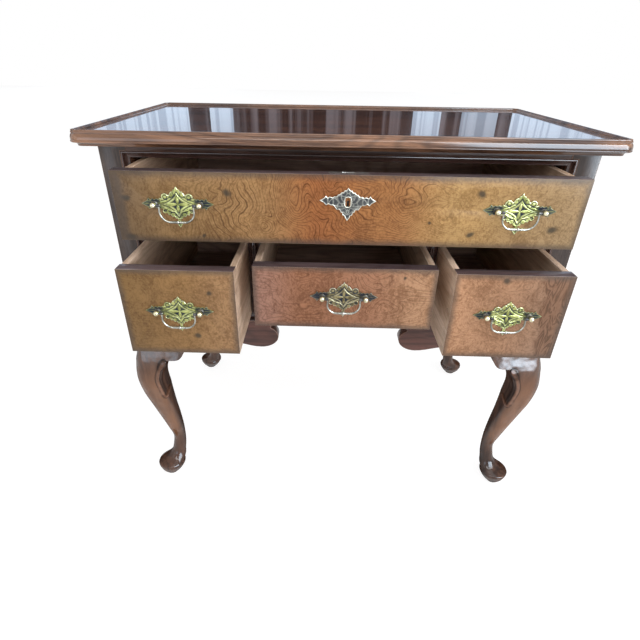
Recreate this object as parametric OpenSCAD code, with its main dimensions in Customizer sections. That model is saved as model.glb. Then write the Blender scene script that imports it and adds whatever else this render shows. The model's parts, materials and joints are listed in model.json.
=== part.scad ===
// Walnut lowboy with a tray top, four drawers and carved cabriole legs.
// Millimetres, +Z up, front of the case towards -Y. The case stands on its
// four pad feet; the drawers are drawn as they stand open.

/* [Case] */
// Width over the corner posts
case_w = 760; // [700:5:820]
// Depth over the corner posts
case_d = 434; // [400:2:470]
// Square section of a corner post
post_w = 43; // [38:1:46]
// Thickness of the side panels
side_t = 16; // [12:1:20]
// Thickness of the back panel
back_t = 12; // [8:1:16]
// Thickness of the shaped front board under the drawers
apron_t = 22; // [18:1:24]
// Depth, front to back, of the drawer rails
rail_d = 60; // [50:1:80]
// Height of the front board below the side drawers
apron_h = 57.2; // [50:0.1:64]
// Height of the side drawer openings
side_open_h = 145.1; // [125:0.1:160]
// Height of the rail between the two tiers of drawers
mid_rail_h = 26.4; // [24:0.1:32]
// Height of the top drawer opening
top_open_h = 103.4; // [90:0.1:120]
// Height of the rail under the top
top_rail_h = 19.9; // [16:0.1:26]
// Width of the middle drawer opening
centre_open_w = 280.8; // [240:0.4:320]
// Width of each upright between the lower drawers
divider_w = 20; // [20:1:26]
// How far the middle drawer's rail stands above the side drawers' rail
centre_raise = 41.1; // [36:0.1:50]
// Thickness of the drawer runners
runner_t = 20; // [14:1:24]

/* [Apron] */
// Half width of the arch in the middle of the front board
arch_half = 127; // [110:1:130]
// Wood left between the arch and the middle drawer
arch_web = 25; // [18:1:30]
// Half width of a hanging lobe beside the arch
lobe_rx = 33; // [26:1:36]
// Half height of a hanging lobe
lobe_rz = 23.5; // [18:0.5:28]
// How far a lobe hangs below the straight edge
lobe_drop = 9.5; // [4:0.5:14]

/* [Top] */
// Overhang of the top at the front and the ends
over = 31.4; // [24:0.2:38]
// Overhang of the top at the back
over_back = 8; // [0:0.5:16]
// Thickness of the top board at the tray floor
board_t = 18; // [15:0.5:22]
// Height of the tray rim above the tray floor
rim_h = 5; // [3:0.5:8]
// Width of the tray rim
rim_w = 11; // [9:0.5:13]
// Corner radius of the top board in plan
top_corner_r = 20; // [16:1:26]
// Radius of the notch in each corner of the tray rim
rim_notch_r = 8; // [7:0.5:11]

/* [Legs] */
// Height of a leg from the floor to the square of its post
leg_h = 364; // [340:2:400]
// How far the knee stands out beyond the corner
knee_out = 17.5; // [10:0.5:22]
// Width of the knee where the glue blocks meet it
knee_in = 50; // [46:0.5:54]
// Thickness of the ankle
ankle_w = 25.5; // [22:0.5:32]
// Width of the pad foot
foot_w = 58; // [48:0.5:64]
// Width of the sole
sole_w = 25; // [20:0.5:36]
// Height of the carved scroll ridge on the front knees
scroll_rise = 2.8; // [1:0.1:3]
// Half width of the scroll ridge
scroll_half = 3.8; // [2.6:0.1:4]
// Length of a knee block along the case
block_len = 60; // [50:2:90]
// Distance from the leg at which the edge of a knee block climbs
block_round = 36.5; // [28:0.5:44]
// Drop of a knee block beside the leg
block_drop = 38.5; // [30:0.5:50]
// Thickness of a knee block behind the case face
block_t = 20; // [14:1:22]

/* [Mouldings] */
// Width and depth of the moulding round each drawer opening
mould_w = 10; // [8:0.5:10]
// Radius of its bead
bead_r = 1.7; // [1.2:0.1:2]
// How far the bead stands proud of the case
bead_proud = 0.8; // [0.4:0.1:1.2]

/* [Drawers] */
// Thickness of a drawer front
front_t = 20; // [18:0.5:24]
// Thickness of drawer sides and backs
wall_t = 10; // [8:0.5:12]
// Thickness of drawer bottoms
floor_t = 6; // [5:0.5:8]
// Height of a drawer bottom above the lower edge of its sides
floor_rise = 9; // [8:0.5:14]
// Depth of the grooves that hold the bottom
groove = 5; // [3:0.5:6]
// Gap between a drawer front and its opening, at each side and above
drawer_gap = 1.8; // [1:0.1:2.4]
// Running gap between a drawer and its runners
run_gap = 0.3; // [0.2:0.1:0.6]
// How far a shut drawer stands behind the case face
setback = 10; // [8:0.5:14]
// Space behind a shut drawer
back_gap = 7; // [4:0.5:14]
// Inset of the top drawer's sides from the ends of its front
top_inset = 11; // [8:0.5:14]
// Wood of the front left over the ends of its dovetails
lap = 6; // [4:0.5:8]
// Running gap beside the top drawer's sides
side_gap = 0.6; // [0.4:0.1:1]
// How far the top drawer stands open, from flush with the case
pull_top = 78.3; // [-10:0.1:200]
// How far the left drawer stands open
pull_left = 122.3; // [-10:0.1:200]
// How far the middle drawer stands open
pull_centre = 100.4; // [-10:0.1:200]
// How far the right drawer stands open
pull_right = 112.9; // [-10:0.1:200]

/* [Handles] */
// Distance between the two posts of a handle
post_gap = 66; // [62:0.5:72]
// Thickness of the cast plates
plate_t = 1.6; // [1:0.1:2.4]
// Distance of the pivot in front of the drawer
pivot_out = 10; // [9:0.5:14]
// Radius of the ball at the head of a post
ball_r = 4.3; // [4:0.1:5]
// Radius of the threaded shank of a post
shank_r = 2.5; // [2:0.1:3]
// Radius of the bail's wire
wire_r = 1.5; // [1.2:0.05:1.7]
// Radius of the bail's pins
pin_r = 1.2; // [1:0.05:1.4]
// Radial clearance of a bail pin in its ball
pin_clear = 0.06; // [0.03:0.01:0.1]
// Length of the collar between a ball and the arm of the bail
bail_collar = 2; // [1.2:0.1:3]
// How far the bail hangs below its pivot
bail_drop = 24; // [20:0.5:28]
// Radius of the bail's lower corners
bail_corner = 15; // [8:0.5:16]
// Distance of the top drawer's handles from its middle
top_handle_x = 243.5; // [200:0.5:280]

/* [Lock] */
// Width of the lock case
lock_w = 56; // [44:1:64]
// Height of the lock case
lock_h = 52; // [50:1:60]
// Depth of the lock case
lock_d = 12; // [10:0.5:13]
// Wall of the lock case
lock_wall = 1.5; // [1:0.25:2]
// Width of the bolt
bolt_w = 18; // [12:1:22]
// Throw of the bolt
bolt_throw = 7; // [5:0.5:8]

/* [Hidden] */
$fn = 48;
eps = 1;

walnut = "#5a2d1c";
burl = "#9a5a2c";
oak = "#c9a06c";
brass = "#b9a25c";
pewter = "#8f8f86";
steel = "#6d6a64";

// Levels of the front, from the floor up
z_low = leg_h + apron_h;
z_mid = z_low + side_open_h;
z_top_open = z_mid + mid_rail_h;
z_top_rail = z_top_open + top_open_h;
case_top = z_top_rail + top_rail_h;
z_centre = z_low + centre_raise;
z_tray = case_top + board_t;
centre_open_h = z_mid - z_centre;

// Places across and through the case
post_in = case_w / 2 - post_w;
div_in = centre_open_w / 2;
div_out = div_in + divider_w;
back_in = case_d - back_t;
drawer_len = back_in - back_gap - setback;

// Drawers: [middle of the opening, its width, its floor, its height, stands open by, inset of the sides,
// height of the handle as a share of the front]
side_open_w = post_in - div_out;
side_mid = (post_in + div_out) / 2;
TOP = [0, 2 * post_in, z_top_open, top_open_h, pull_top, top_inset, 0.553];
LEFT = [-side_mid, side_open_w, z_low, side_open_h, pull_left, 0, 0.535];
CENTRE = [0, centre_open_w, z_centre, centre_open_h, pull_centre, 0, 0.539];
RIGHT = [side_mid, side_open_w, z_low, side_open_h, pull_right, 0, 0.535];

module placed() translate([0, origin_y, 0]) children();
module both() {
    children();
    mirror([1, 0, 0]) children();
}
// A box from its low corner to its high corner
module box(lo, hi) translate(lo) cube(hi - lo);
// Turns a profile drawn in X and Z, and extrudes it back from the plane y = 0
module deep(t) translate([0, t, 0]) rotate([90, 0, 0]) linear_extrude(t) children();

function mix(a, b, t) = a * (1 - t) + b * t;
function ease(a, b, z) = let (s = min(1, max(0, (z - a) / (b - a)))) s * s * (3 - 2 * s);

// ---------------------------------------------------------------- curves
// A smooth curve through stations [at, value, ...], by cubic pieces
function piece(tab, z, i = 0) = (i >= len(tab) - 2 || z < tab[i + 1][0]) ? i : piece(tab, z, i + 1);
function slope(tab, i, c) =
    let (lo = max(0, i - 1), hi = min(len(tab) - 1, i + 1))
    (tab[hi][c] - tab[lo][c]) / (tab[hi][0] - tab[lo][0]);
function along(tab, z, c) =
    let (i = piece(tab, z), h = tab[i + 1][0] - tab[i][0], t = (z - tab[i][0]) / h, u = 1 - t)
    (1 + 2 * t) * u * u * tab[i][c] + t * u * u * h * slope(tab, i, c)
    + (3 - 2 * t) * t * t * tab[i + 1][c] - t * t * u * h * slope(tab, i + 1, c);

// ---------------------------------------------------------------- legs
// Stations up a leg: [height, outward reach beyond the corner, width]
ankle_in = -20;
knee_w = knee_out + knee_in;
leg_stations = [
    [0, 1.7, sole_w], [0.0055 * leg_h, 3.2, mix(sole_w, foot_w, 0.085)],
    [0.0346 * leg_h, 10.5, mix(sole_w, foot_w, 0.6)], [0.066 * leg_h, 15.2, mix(sole_w, foot_w, 0.955)],
    [0.077 * leg_h, 16, foot_w], [0.088 * leg_h, 14.8, mix(ankle_w, foot_w, 0.93)],
    [0.11 * leg_h, -1.4, mix(ankle_w, foot_w, 0.486)], [0.14 * leg_h, -12.3, ankle_w + 4.9],
    [0.1865 * leg_h, -17.2, ankle_w + 1.9], [0.2529 * leg_h, ankle_in, ankle_w],
    [0.3357 * leg_h, -13.5, ankle_w + 7], [0.4318 * leg_h, -5.5, ankle_w + 13],
    [0.5411 * leg_h, mix(ankle_in, knee_out, 0.627), mix(ankle_w, knee_w, 0.43)],
    [0.6648 * leg_h, mix(ankle_in, knee_out, 0.89), mix(ankle_w, knee_w, 0.58)],
    [0.7752 * leg_h, knee_out, knee_w - 15.5], [0.8713 * leg_h, knee_out - 1.5, knee_w - 4.5],
    [0.905 * leg_h, 0.69 * knee_out, knee_in - 1.5 + 0.69 * knee_out],
    [0.9448 * leg_h, 0.26 * knee_out, knee_in + 0.26 * knee_out], [leg_h, 0, knee_in]
];
function reach(z) = along(leg_stations, z, 1);
function width(z) = along(leg_stations, z, 2);
function inner(z) = width(z) - reach(z);

// A section is a square with round corners: round at the ankle, square at the post, and sharp beside
// the knee blocks, whose fronts carry on its faces
squaring = [0.285 * leg_h, 0.806 * leg_h];
shoulder = [0.857 * leg_h, leg_h];
cheek = [0.84 * leg_h, 0.895 * leg_h];
arris_r = 2.5;
function corner_r(z, share, from = shoulder, last = arris_r) =
    let (half = width(z) / 2)
    mix(mix(half, half * share, ease(squaring[0], squaring[1], z)), last, ease(from[0], from[1], z));
function arc(cx, cy, r, from, n) = [for (k = [0:n]) let (a = from + 90 * k / n) [cx + r * cos(a), cy + r * sin(a)]];
function between(a, b, n, bend = 1) = n < 2 ? [] : [for (k = [1:n - 1]) mix(a, b, pow(k / n, bend))];
function section(z, n, carved) =
    let (o = reach(z), i = inner(z), ro = corner_r(z, 0.8), rs = corner_r(z, 0.32, cheek, 0.8), ri = corner_r(z, 0.14),
        outer_corner = arc(o - ro, o - ro, ro, 0, n),
        front_corner = arc(rs - i, o - rs, rs, 90, n),
        inner_corner = arc(ri - i, ri - i, ri, 180, max(2, n - 3)),
        back_corner = arc(o - rs, rs - i, rs, 270, n - 1))
    concat(outer_corner, between(outer_corner[n], front_corner[0], carved ? 8 : 1, 0.75), front_corner,
        between(front_corner[n], inner_corner[0], carved ? 6 : 1), inner_corner, back_corner);

// The carved C-scroll runs beside the front inner arris of the knee, then turns round it.
// It is laid out on the two faces unfolded: [distance from the arris, share of the leg's height].
scroll_path = [
    [4, 0.885], [5.5, 0.862], [5, 0.84], [4, 0.81], [3, 0.78], [2.5, 0.75], [2, 0.715], [1.5, 0.68],
    [1, 0.655], [0, 0.638], [-6, 0.64], [-16, 0.648], [-30, 0.66]
];
scroll_head = [1, 0.869];
head_r = 9;
function to_segment(p, a, b) =
    let (ab = b - a, t = min(1, max(0, ((p - a) * ab) / (ab * ab)))) norm(p - a - ab * t);
function unfold(q) = [q[0], q[1] * leg_h];
function scroll_distance(p) = min([for (k = [0:len(scroll_path) - 2])
    to_segment(p, unfold(scroll_path[k]), unfold(scroll_path[k + 1]))]);
function swell(d, half) = d >= half ? 0 : pow(cos(90 * d / half), 2);
function carving(p) =
    max(scroll_rise * swell(scroll_distance(p), scroll_half),
        1.5 * scroll_rise * swell(norm(p - unfold(scroll_head)), head_r));

function carve(q, z) =
    let (o = reach(z), i = inner(z), s = (q[0] + i) - (o - q[1]), c = [(o - i) / 2, (o - i) / 2],
        toward = (q - c) / norm(q - c))
    q[1] - q[0] < -0.01 ? q : q + toward * carving([s, z]);

function leg_levels(carved) = concat(
    [for (k = [0:10]) leg_h * 0.11 * k / 10], [for (k = [1:5]) leg_h * mix(0.11, 0.27, k / 5)],
    [for (k = [1:carved ? 8 : 7]) leg_h * mix(0.27, 0.62, k / (carved ? 8 : 7))],
    [for (k = [1:carved ? 22 : 6]) leg_h * mix(0.62, 0.9, k / (carved ? 22 : 6))],
    [for (k = [1:4]) leg_h * mix(0.9, 1, k / 4)]);
// The model's origin is on the floor, midway between the foremost handle and the back of the knees
handle_reach = pivot_out + ball_r;
back_reach = max(over_back, max([for (z = leg_levels(false)) reach(z)]));
front_reach = max(over, max(pull_top, pull_left, pull_centre, pull_right) + handle_reach);
origin_y = (front_reach - case_d - back_reach) / 2;

// Skins a row of rings into a solid; each ring runs clockwise as seen from the last one.
// A ring in ladder form climbs one side and comes down the other, and its caps are laid rung by rung.
module loft(rings, ladder = false) {
    n = len(rings);
    m = len(rings[0]);
    last = (n - 1) * m;
    rungs = [for (i = [0:m / 2 - 2]) [i, i + 1, m - 2 - i, m - 1 - i]];
    polyhedron([for (r = rings) each r], concat(
        [for (k = [0:n - 2]) for (i = [0:m - 1]) let (j = (i + 1) % m, c = k * m, d = c + m)
            each [[c + i, c + j, d + j], [c + i, d + j, d + i]]],
        ladder ? [for (r = rungs) [r[3], r[2], r[1], r[0]]] : [[for (i = [m - 1:-1:0]) i]],
        ladder ? [for (r = rungs) [for (i = r) last + i]] : [[for (i = [0:m - 1]) last + i]]));
}

// Leg of the front right corner, with the corner itself at x = 0, y = 0
module cabriole(carved) loft([for (z = leg_levels(carved))
    [for (q = section(z, carved ? 6 : 5, carved)) let (c = carved ? carve(q, z) : q) [c[0], -c[1], z]]]);
module corner(right, front) translate([right ? case_w / 2 : -case_w / 2, front ? 0 : case_d, 0])
    mirror([right ? 0 : 1, 0, 0]) mirror([0, front ? 0 : 1, 0]) children();
module leg(right, front) placed() corner(right, front) color(walnut) {
    cabriole(front);
    difference() {
        box([-post_w, 0, leg_h], [0, post_w, case_top]);
        if (front) for (z = [[z_low, z_mid], [z_top_open, z_top_rail]])
            box([-post_w - eps, -eps, z[0] - mould_w], [mould_w - post_w, mould_w, z[1] + mould_w]);
    }
}
module leg_front_left() leg(false, true);
module leg_front_right() leg(true, true);
module leg_back_left() leg(false, false);
module leg_back_right() leg(true, false);

// Shaped blocks glued beside the knees: each carries on the swell of the knee to a round ear
glue = 0.15;
block_lip = 0.6;
block_steps = [0, 0.15, 0.3, 0.4, 0.48, 0.54, 0.58, 0.62, 0.66, 0.72, 0.8, 0.9, 1];
function climb(x) = 1 / (1 + exp((block_round - x) / 4));
function block_foot(t) =
    leg_h - block_drop * (1 - (climb(block_len * t) - climb(0)) / (climb(block_len) - climb(0))) - block_lip;
function block_ring(t, n) =
    let (z = [for (k = [0:n]) mix(block_foot(t), leg_h, k / n)], fade = 1 - 0.8 * ease(0.35, 1, t),
        x = [for (h = z) mix(-inner(h) - glue, -knee_in - block_len, t)])
    concat([for (k = [0:n]) [x[k], block_t, z[k]]], [for (k = [n:-1:0]) [x[k], -reach(z[k]) * fade, z[k]]]);
module knee_block() loft([for (t = block_steps) block_ring(t, 6)], true);
module knee_blocks() placed() color(walnut) {
    for (right = [false, true]) {
        corner(right, true) knee_block();
        for (front = [false, true]) corner(right, front) mirror([1, 1, 0]) knee_block();
    }
}

// ---------------------------------------------------------------- top
// The moulded edge, out from the case face: a cove underneath, a bead, then an ovolo up to the rim
edge_in = over - 14;
function edge_profile() = concat(
    [[edge_in, 0]],
    [for (a = [174:-12:90]) [over - 3.4 + 6 * cos(a), 6 * sin(a) - 0.6]],
    [for (a = [-90:25:60]) [over - 1.4 + 1.4 * cos(a), 6.8 + 1.4 * sin(a)]],
    [for (a = [0:15:90]) [over - 5 + 4.6 * cos(a), 9 + (board_t - 9) * sin(a)]],
    [[edge_in, board_t]]);
// The straight run of the edge along +X, from the corner x = 0, outward towards -Y
module edge_run(length) rotate([90, 0, 90]) linear_extrude(length) mirror([1, 0])
    polygon(edge_profile());
module edge_corner() rotate_extrude(angle = 90)
    translate([top_corner_r - over, 0]) polygon(edge_profile());
top_x = case_w / 2 + over;
module top_board() placed() color(walnut) translate([0, 0, case_top]) {
    y0 = -over;
    y1 = case_d + over_back;
    inset = over - edge_in;
    run_x = 2 * (top_x - top_corner_r);
    run_y = y1 - y0 - 2 * top_corner_r;
    box([inset - top_x, y0 + top_corner_r, 0], [top_x - inset, y1 - top_corner_r, board_t]);
    box([top_corner_r - top_x, y0 + inset, 0], [top_x - top_corner_r, y1 - inset, board_t]);
    translate([-run_x / 2, y0 + over, 0]) edge_run(run_x);
    translate([run_x / 2, y1 - over, 0]) rotate(180) edge_run(run_x);
    translate([top_x - over, y0 + top_corner_r, 0]) rotate(90) edge_run(run_y);
    translate([over - top_x, y1 - top_corner_r, 0]) rotate(-90) edge_run(run_y);
    for (c = [[1, 1, 0], [-1, 1, 90], [-1, -1, 180], [1, -1, 270]])
        translate([c[0] * run_x / 2, (y0 + y1) / 2 + c[1] * run_y / 2, 0]) rotate(c[2]) {
            edge_corner();
            cylinder(r = top_corner_r - inset, h = board_t);
        }
}

// The rim is planted on the board in four lengths, mitred where its corners are notched.
// Profile: [distance in from the outer edge, height]: a quirk, a bead, then a hollow down to the tray.
rim_set = 4.4;
function rim_profile() = concat(
    [[0, 0], [0, 1.4], [0.7, 2.2]],
    [for (k = [0:7]) let (a = 180 - 180 * k / 7) [2.3 + 1.8 * cos(a), rim_h - 1.8 + 1.8 * sin(a)]],
    [for (a = [0:18:90]) [rim_w - (rim_w - 4.6) * cos(a), rim_h - 2 - (rim_h - 2.4) * sin(a)]],
    [[rim_w, 0]]);
// One ring of a length whose outer edge runs along y = 0 to a corner at x = half; the notch is an arc
// about that corner, from the straight (t = 0) to a hair short of the mitre (t = 1)
function rim_ring(half, t, side) = [for (p = rim_profile())
    let (r = rim_notch_r + p[0], a = mix(180 - asin(p[0] / r), 135.3, t))
    [side * (half + r * cos(a)), r * sin(a), p[1]]];
module rim_length(half) loft(concat(
    [for (k = [5:-1:0]) rim_ring(half, k / 5, -1)], [for (k = [0:5]) rim_ring(half, k / 5, 1)]), true);
module tray_rim() placed() color(walnut) translate([0, (case_d + over_back - over) / 2, z_tray]) {
    hx = top_x - rim_set;
    hy = (case_d + over_back + over) / 2 - rim_set;
    translate([0, -hy, 0]) rim_length(hx);
    translate([0, hy, 0]) rotate(180) rim_length(hx);
    translate([hx, 0, 0]) rotate(90) rim_length(hy);
    translate([-hx, 0, 0]) rotate(-90) rim_length(hy);
}

// ---------------------------------------------------------------- carcass
module side_panel() box([case_w / 2 - side_t, post_w, leg_h], [case_w / 2, case_d - post_w, case_top]);
module side_panel_left() placed() color(walnut) mirror([1, 0, 0]) side_panel();
module side_panel_right() placed() color(walnut) side_panel();
module back_panel() placed() color(oak) box([-post_in, back_in, leg_h], [post_in, case_d, case_top]);

module top_rail() placed() color(walnut) difference() {
    box([-post_in, 0, z_top_rail], [post_in, rail_d, case_top]);
    box([-post_in - eps, -eps, z_top_rail - eps], [post_in + eps, mould_w, z_top_rail + mould_w]);
    // Mortise for the bolt of the lock
    box([-bolt_w / 2 - 1, setback + bolt_seat[1] - 1, z_top_rail - eps],
        [bolt_w / 2 + 1, setback + bolt_seat[1] + bolt_d + 1, z_top_rail + bolt_throw + 1]);
}
module middle_rail() placed() color(walnut) difference() {
    box([-post_in, 0, z_mid], [post_in, rail_d, z_top_open]);
    for (z = [z_mid - eps, z_top_open - mould_w])
        box([-post_in - eps, -eps, z], [post_in + eps, mould_w, z + mould_w + eps]);
}

// The front board: straight under the side drawers, with a lobe each side of the arch
lobe_x = arch_half + 0.57 * lobe_rx;
lobe_z = leg_h - lobe_drop + lobe_rz;
cusp_a = 180 - acos((lobe_x - arch_half) / lobe_rx);
arch_top = z_centre - arch_web;
arch_r = 25;
module apron_outline() {
    arch = concat(
        [for (a = [0:15:90]) [arch_half - arch_r + arch_r * cos(a), arch_top - arch_r + arch_r * sin(a)]]);
    lobe = [for (k = [0:14]) let (a = mix(cusp_a, 270, k / 14)) [lobe_x + lobe_rx * cos(a), lobe_z + lobe_rz * sin(a)]];
    sweep = [for (k = [1:6]) [lobe_x + 10 * k, leg_h - lobe_drop * (1 + cos(30 * k)) / 2]];
    half = concat([[post_in, z_low], [post_in, leg_h]], [for (k = [5:-1:0]) sweep[k]],
        [for (k = [14:-1:0]) lobe[k]], arch);
    polygon(concat([[0, z_centre], [div_in, z_centre], [div_in, z_low]], half, [[0, arch_top]]));
}
module front_apron() placed() color(walnut) difference() {
    deep(apron_t) {
        apron_outline();
        mirror([1, 0]) apron_outline();
    }
    both() box([div_out - mould_w, -eps, z_low - mould_w], [post_in + eps, mould_w, z_low + eps]);
    box([-div_in - eps, -eps, z_centre - mould_w], [div_in + eps, mould_w, z_centre + eps]);
}
// Blades behind the front board, which carry the drawer stops and the runners
module lower_rails() placed() color(oak) {
    both() box([div_out, apron_t, z_low - runner_t], [post_in, rail_d, z_low]);
    box([-div_in, apron_t, z_centre - runner_t], [div_in, rail_d, z_centre]);
}
module divider() {
    box([div_in, mould_w, z_low], [div_out, apron_t, z_mid]);
    box([div_in, 0, z_low], [div_out - mould_w, mould_w, z_centre - mould_w]);
    if (divider_w > 2 * mould_w + 0.1)
        box([div_in + mould_w, 0, z_low], [div_out - mould_w, mould_w, z_mid + mould_w]);
}
module divider_left() placed() color(walnut) mirror([1, 0, 0]) divider();
module divider_right() placed() color(walnut) divider();
module partition() box([div_in, apron_t, z_low - runner_t], [div_out, back_in, z_mid]);
module partition_left() placed() color(oak) mirror([1, 0, 0]) partition();
module partition_right() placed() color(oak) partition();

// One length of the opening moulding along +X, its outer edge on z = 0, mitred at both ends
module mould_section() {
    cove_r = mould_w - 2 * bead_r - 0.4;
    depth = bead_r - bead_proud;
    polygon(concat(
        [[mould_w, 0], [depth, 0]],
        [for (a = [20:20:160]) [depth - bead_r * sin(a), bead_r - bead_r * cos(a)]],
        [[depth, 2 * bead_r]],
        [for (a = [0:15:90]) [1.6 + cove_r * sin(a), 2 * bead_r + cove_r - cove_r * cos(a)]],
        [[1.6 + cove_r, mould_w], [mould_w, mould_w]]));
}
module mould_run(length) difference() {
    rotate([90, 0, 90]) linear_extrude(length) mould_section();
    for (end = [0, 1]) translate([end * length, 0, 0]) mirror([end, 0, 0])
        rotate([0, 45, 0]) box([-4 * mould_w, -mould_w, -mould_w], [0, 2 * mould_w, 4 * mould_w]);
}
module mould_frame(x0, x1, z0, z1) {
    w = x1 - x0 + 2 * mould_w;
    h = z1 - z0 + 2 * mould_w;
    translate([x0 - mould_w, 0, z0 - mould_w]) {
        mould_run(w);
        translate([w, 0, h]) rotate([0, 180, 0]) mould_run(w);
        translate([w, 0, 0]) rotate([0, -90, 0]) mould_run(h);
        translate([0, 0, h]) rotate([0, 90, 0]) mould_run(h);
    }
}
module opening_mouldings() placed() color(walnut) {
    mould_frame(-post_in, post_in, z_top_open, z_top_rail);
    both() mould_frame(div_out, post_in, z_low, z_mid);
    mould_frame(-div_in, div_in, z_centre, z_mid);
}

// Runners, from the rails to the back
runner_w = 34;
module runners() placed() color(oak) both() {
    // Under the top drawer
    box([post_in - runner_w, rail_d, z_top_open - runner_t], [post_in, back_in, z_top_open]);
    // Under a side drawer, outside and inside
    box([post_in - runner_w, rail_d, z_low - runner_t], [post_in, back_in, z_low]);
    box([div_out, rail_d, z_low - runner_t], [div_out + runner_w, back_in, z_low]);
    // Under the middle drawer
    box([div_in - runner_w, rail_d, z_centre - runner_t], [div_in, back_in, z_centre]);
}
// Guides fill between the side panels and the line of the posts
guide_h = 26;
module guides() placed() color(oak) both() {
    box([post_in, post_w, z_top_open - runner_t], [case_w / 2 - side_t, case_d - post_w, z_top_open + guide_h]);
    box([post_in, post_w, z_low - runner_t], [case_w / 2 - side_t, case_d - post_w, z_low + guide_h]);
    // Strips beside the top drawer's sides, which are set in from the ends of its front
    box([side_x(TOP) + side_gap, rail_d, z_top_open], [post_in, case_d - post_w, z_top_open + guide_h]);
}
// Small blocks on the rails that stop each drawer front
stop_size = [28, 12, 5];
stop_y = setback + front_t + run_gap;
module drawer_stops() placed() color(oak) {
    for (s = [[0.55 * post_in, z_top_open], [side_mid - 0.28 * side_open_w, z_low],
            [side_mid + 0.28 * side_open_w, z_low], [0.3 * centre_open_w, z_centre]])
        both() translate([s[0] - stop_size[0] / 2, stop_y, s[1]]) cube(stop_size);
}
// Cleats that hold the top and keep the top drawer from tipping
module top_cleats() placed() color(oak) both()
    box([post_in - runner_w, rail_d, z_top_rail], [post_in, back_in, case_top]);

// ---------------------------------------------------------------- drawers
function front_w(d) = d[1] - 2 * drawer_gap;
function front_h(d) = d[3] - drawer_gap - run_gap;
function base_z(d) = d[2] + run_gap;
module drawn(d) placed() translate([d[0], -d[4], base_z(d)]) children();

// Dovetails: tails on the end of a side, drawn in Y and Z
tail_flare = 2.2;
tail_pitch = 31;
side_drop = 2;
module tails(h) {
    n = max(1, floor(h / tail_pitch));
    pitch = h / n;
    for (k = [0:n - 1]) translate([0, (k + 0.5) * pitch])
        polygon([[front_t, -0.30 * pitch], [lap, -0.30 * pitch - tail_flare],
            [lap, 0.30 * pitch + tail_flare], [front_t, 0.30 * pitch]]);
}
// One side board at x = 0, outer face towards +X
module side_board(d) {
    h = front_h(d) - side_drop;
    difference() {
        union() {
            box([-wall_t, front_t, 0], [0, drawer_len, h]);
            if (d[5] == 0) rotate([90, 0, 90]) translate([0, 0, -wall_t]) linear_extrude(wall_t) tails(h);
            else box([-wall_t, lap, 0], [0, front_t + eps, h]);
        }
        box([-wall_t - eps, 0, floor_rise], [groove - wall_t, drawer_len + eps, floor_rise + floor_t]);
    }
}
function side_x(d) = front_w(d) / 2 - d[5];
module drawer_sides(d) drawn(d) color(oak) both() translate([side_x(d), 0, 0]) side_board(d);
module drawer_back(d) drawn(d) color(oak)
    box([wall_t - side_x(d), drawer_len - wall_t, floor_rise + floor_t],
        [side_x(d) - wall_t, drawer_len, front_h(d) - side_drop - 3]);
module drawer_bottom(d) drawn(d) color(oak)
    box([wall_t - groove - side_x(d), front_t - groove, floor_rise],
        [side_x(d) - wall_t + groove, drawer_len, floor_rise + floor_t]);
module drawer_front(d, handles) {
    w = front_w(d);
    h = front_h(d);
    difference() {
        box([-w / 2, 0, 0], [w / 2, front_t, h]);
        both() translate([side_x(d), 0, 0]) {
            if (d[5] == 0) rotate([90, 0, 90]) translate([0, 0, -wall_t]) linear_extrude(wall_t + eps)
                tails(h - side_drop);
            else box([-wall_t, lap, -eps], [0, front_t + eps, h - side_drop]);
        }
        box([wall_t - groove - side_x(d), front_t - groove, floor_rise],
            [side_x(d) - wall_t + groove, front_t + eps, floor_rise + floor_t]);
        for (x = handles) for (s = [-1, 1]) translate([x + s * post_gap / 2, -eps, handle_z(d)])
            rotate([-90, 0, 0]) cylinder(r = shank_r + shank_clear, h = front_t + 2 * eps);
    }
}

// ---------------------------------------------------------------- handles
shank_clear = 0.05;
function handle_z(d) = d[6] * front_h(d);
module handled(d, x) drawn(d) translate([x, 0, handle_z(d)]) children();

// Outline of a pierced-looking plate, half of it: a leaf point, scallops, a barbed wing and a pendant
function plate_half() = concat(
    [[0, 25], [2.2, 21], [4.6, 20.5], [5, 17.6], [7.4, 18], [9.4, 15.8], [11.4, 12.6]],
    [for (a = [150:-30:-30]) [17.2 + 5.2 * cos(a), 9.8 + 5.2 * sin(a)]],
    [[24.5, 8.4], [27.4, 6.6], [30.2, 7.6], [32.4, 6.2], [36, 7.6], [38.4, 5.4], [41.4, 8.6], [43.6, 4.6], [52, 0.4],
        [43.6, -4.2], [41.2, -7.6], [38.2, -4.8], [35.4, -6.4], [32, -5], [28.6, -7.2], [24.4, -6.4]],
    [for (a = [60:-30:-90]) [19.2 + 3.6 * cos(a), -10 + 3.6 * sin(a)]],
    [[16.2, -12.6], [15, -16.4], [11.8, -15.4], [9.6, -18.8], [6.6, -17.8], [4.6, -21.4], [2.2, -21],
        [1.8, -26.6], [4.2, -29.4], [2, -31.6], [0, -34.4]]);
module mirrored_outline(half) polygon(concat(half,
    [for (k = [len(half) - 2:-1:1]) [-half[k][0], half[k][1]]]));
module plate() difference() {
    rotate([90, 0, 0]) linear_extrude(plate_t) mirrored_outline(plate_half());
    for (s = [-1, 1]) translate([s * post_gap / 2, eps, 0]) rotate([90, 0, 0])
        cylinder(r = shank_r + shank_clear, h = plate_t + 2 * eps);
}
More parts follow.
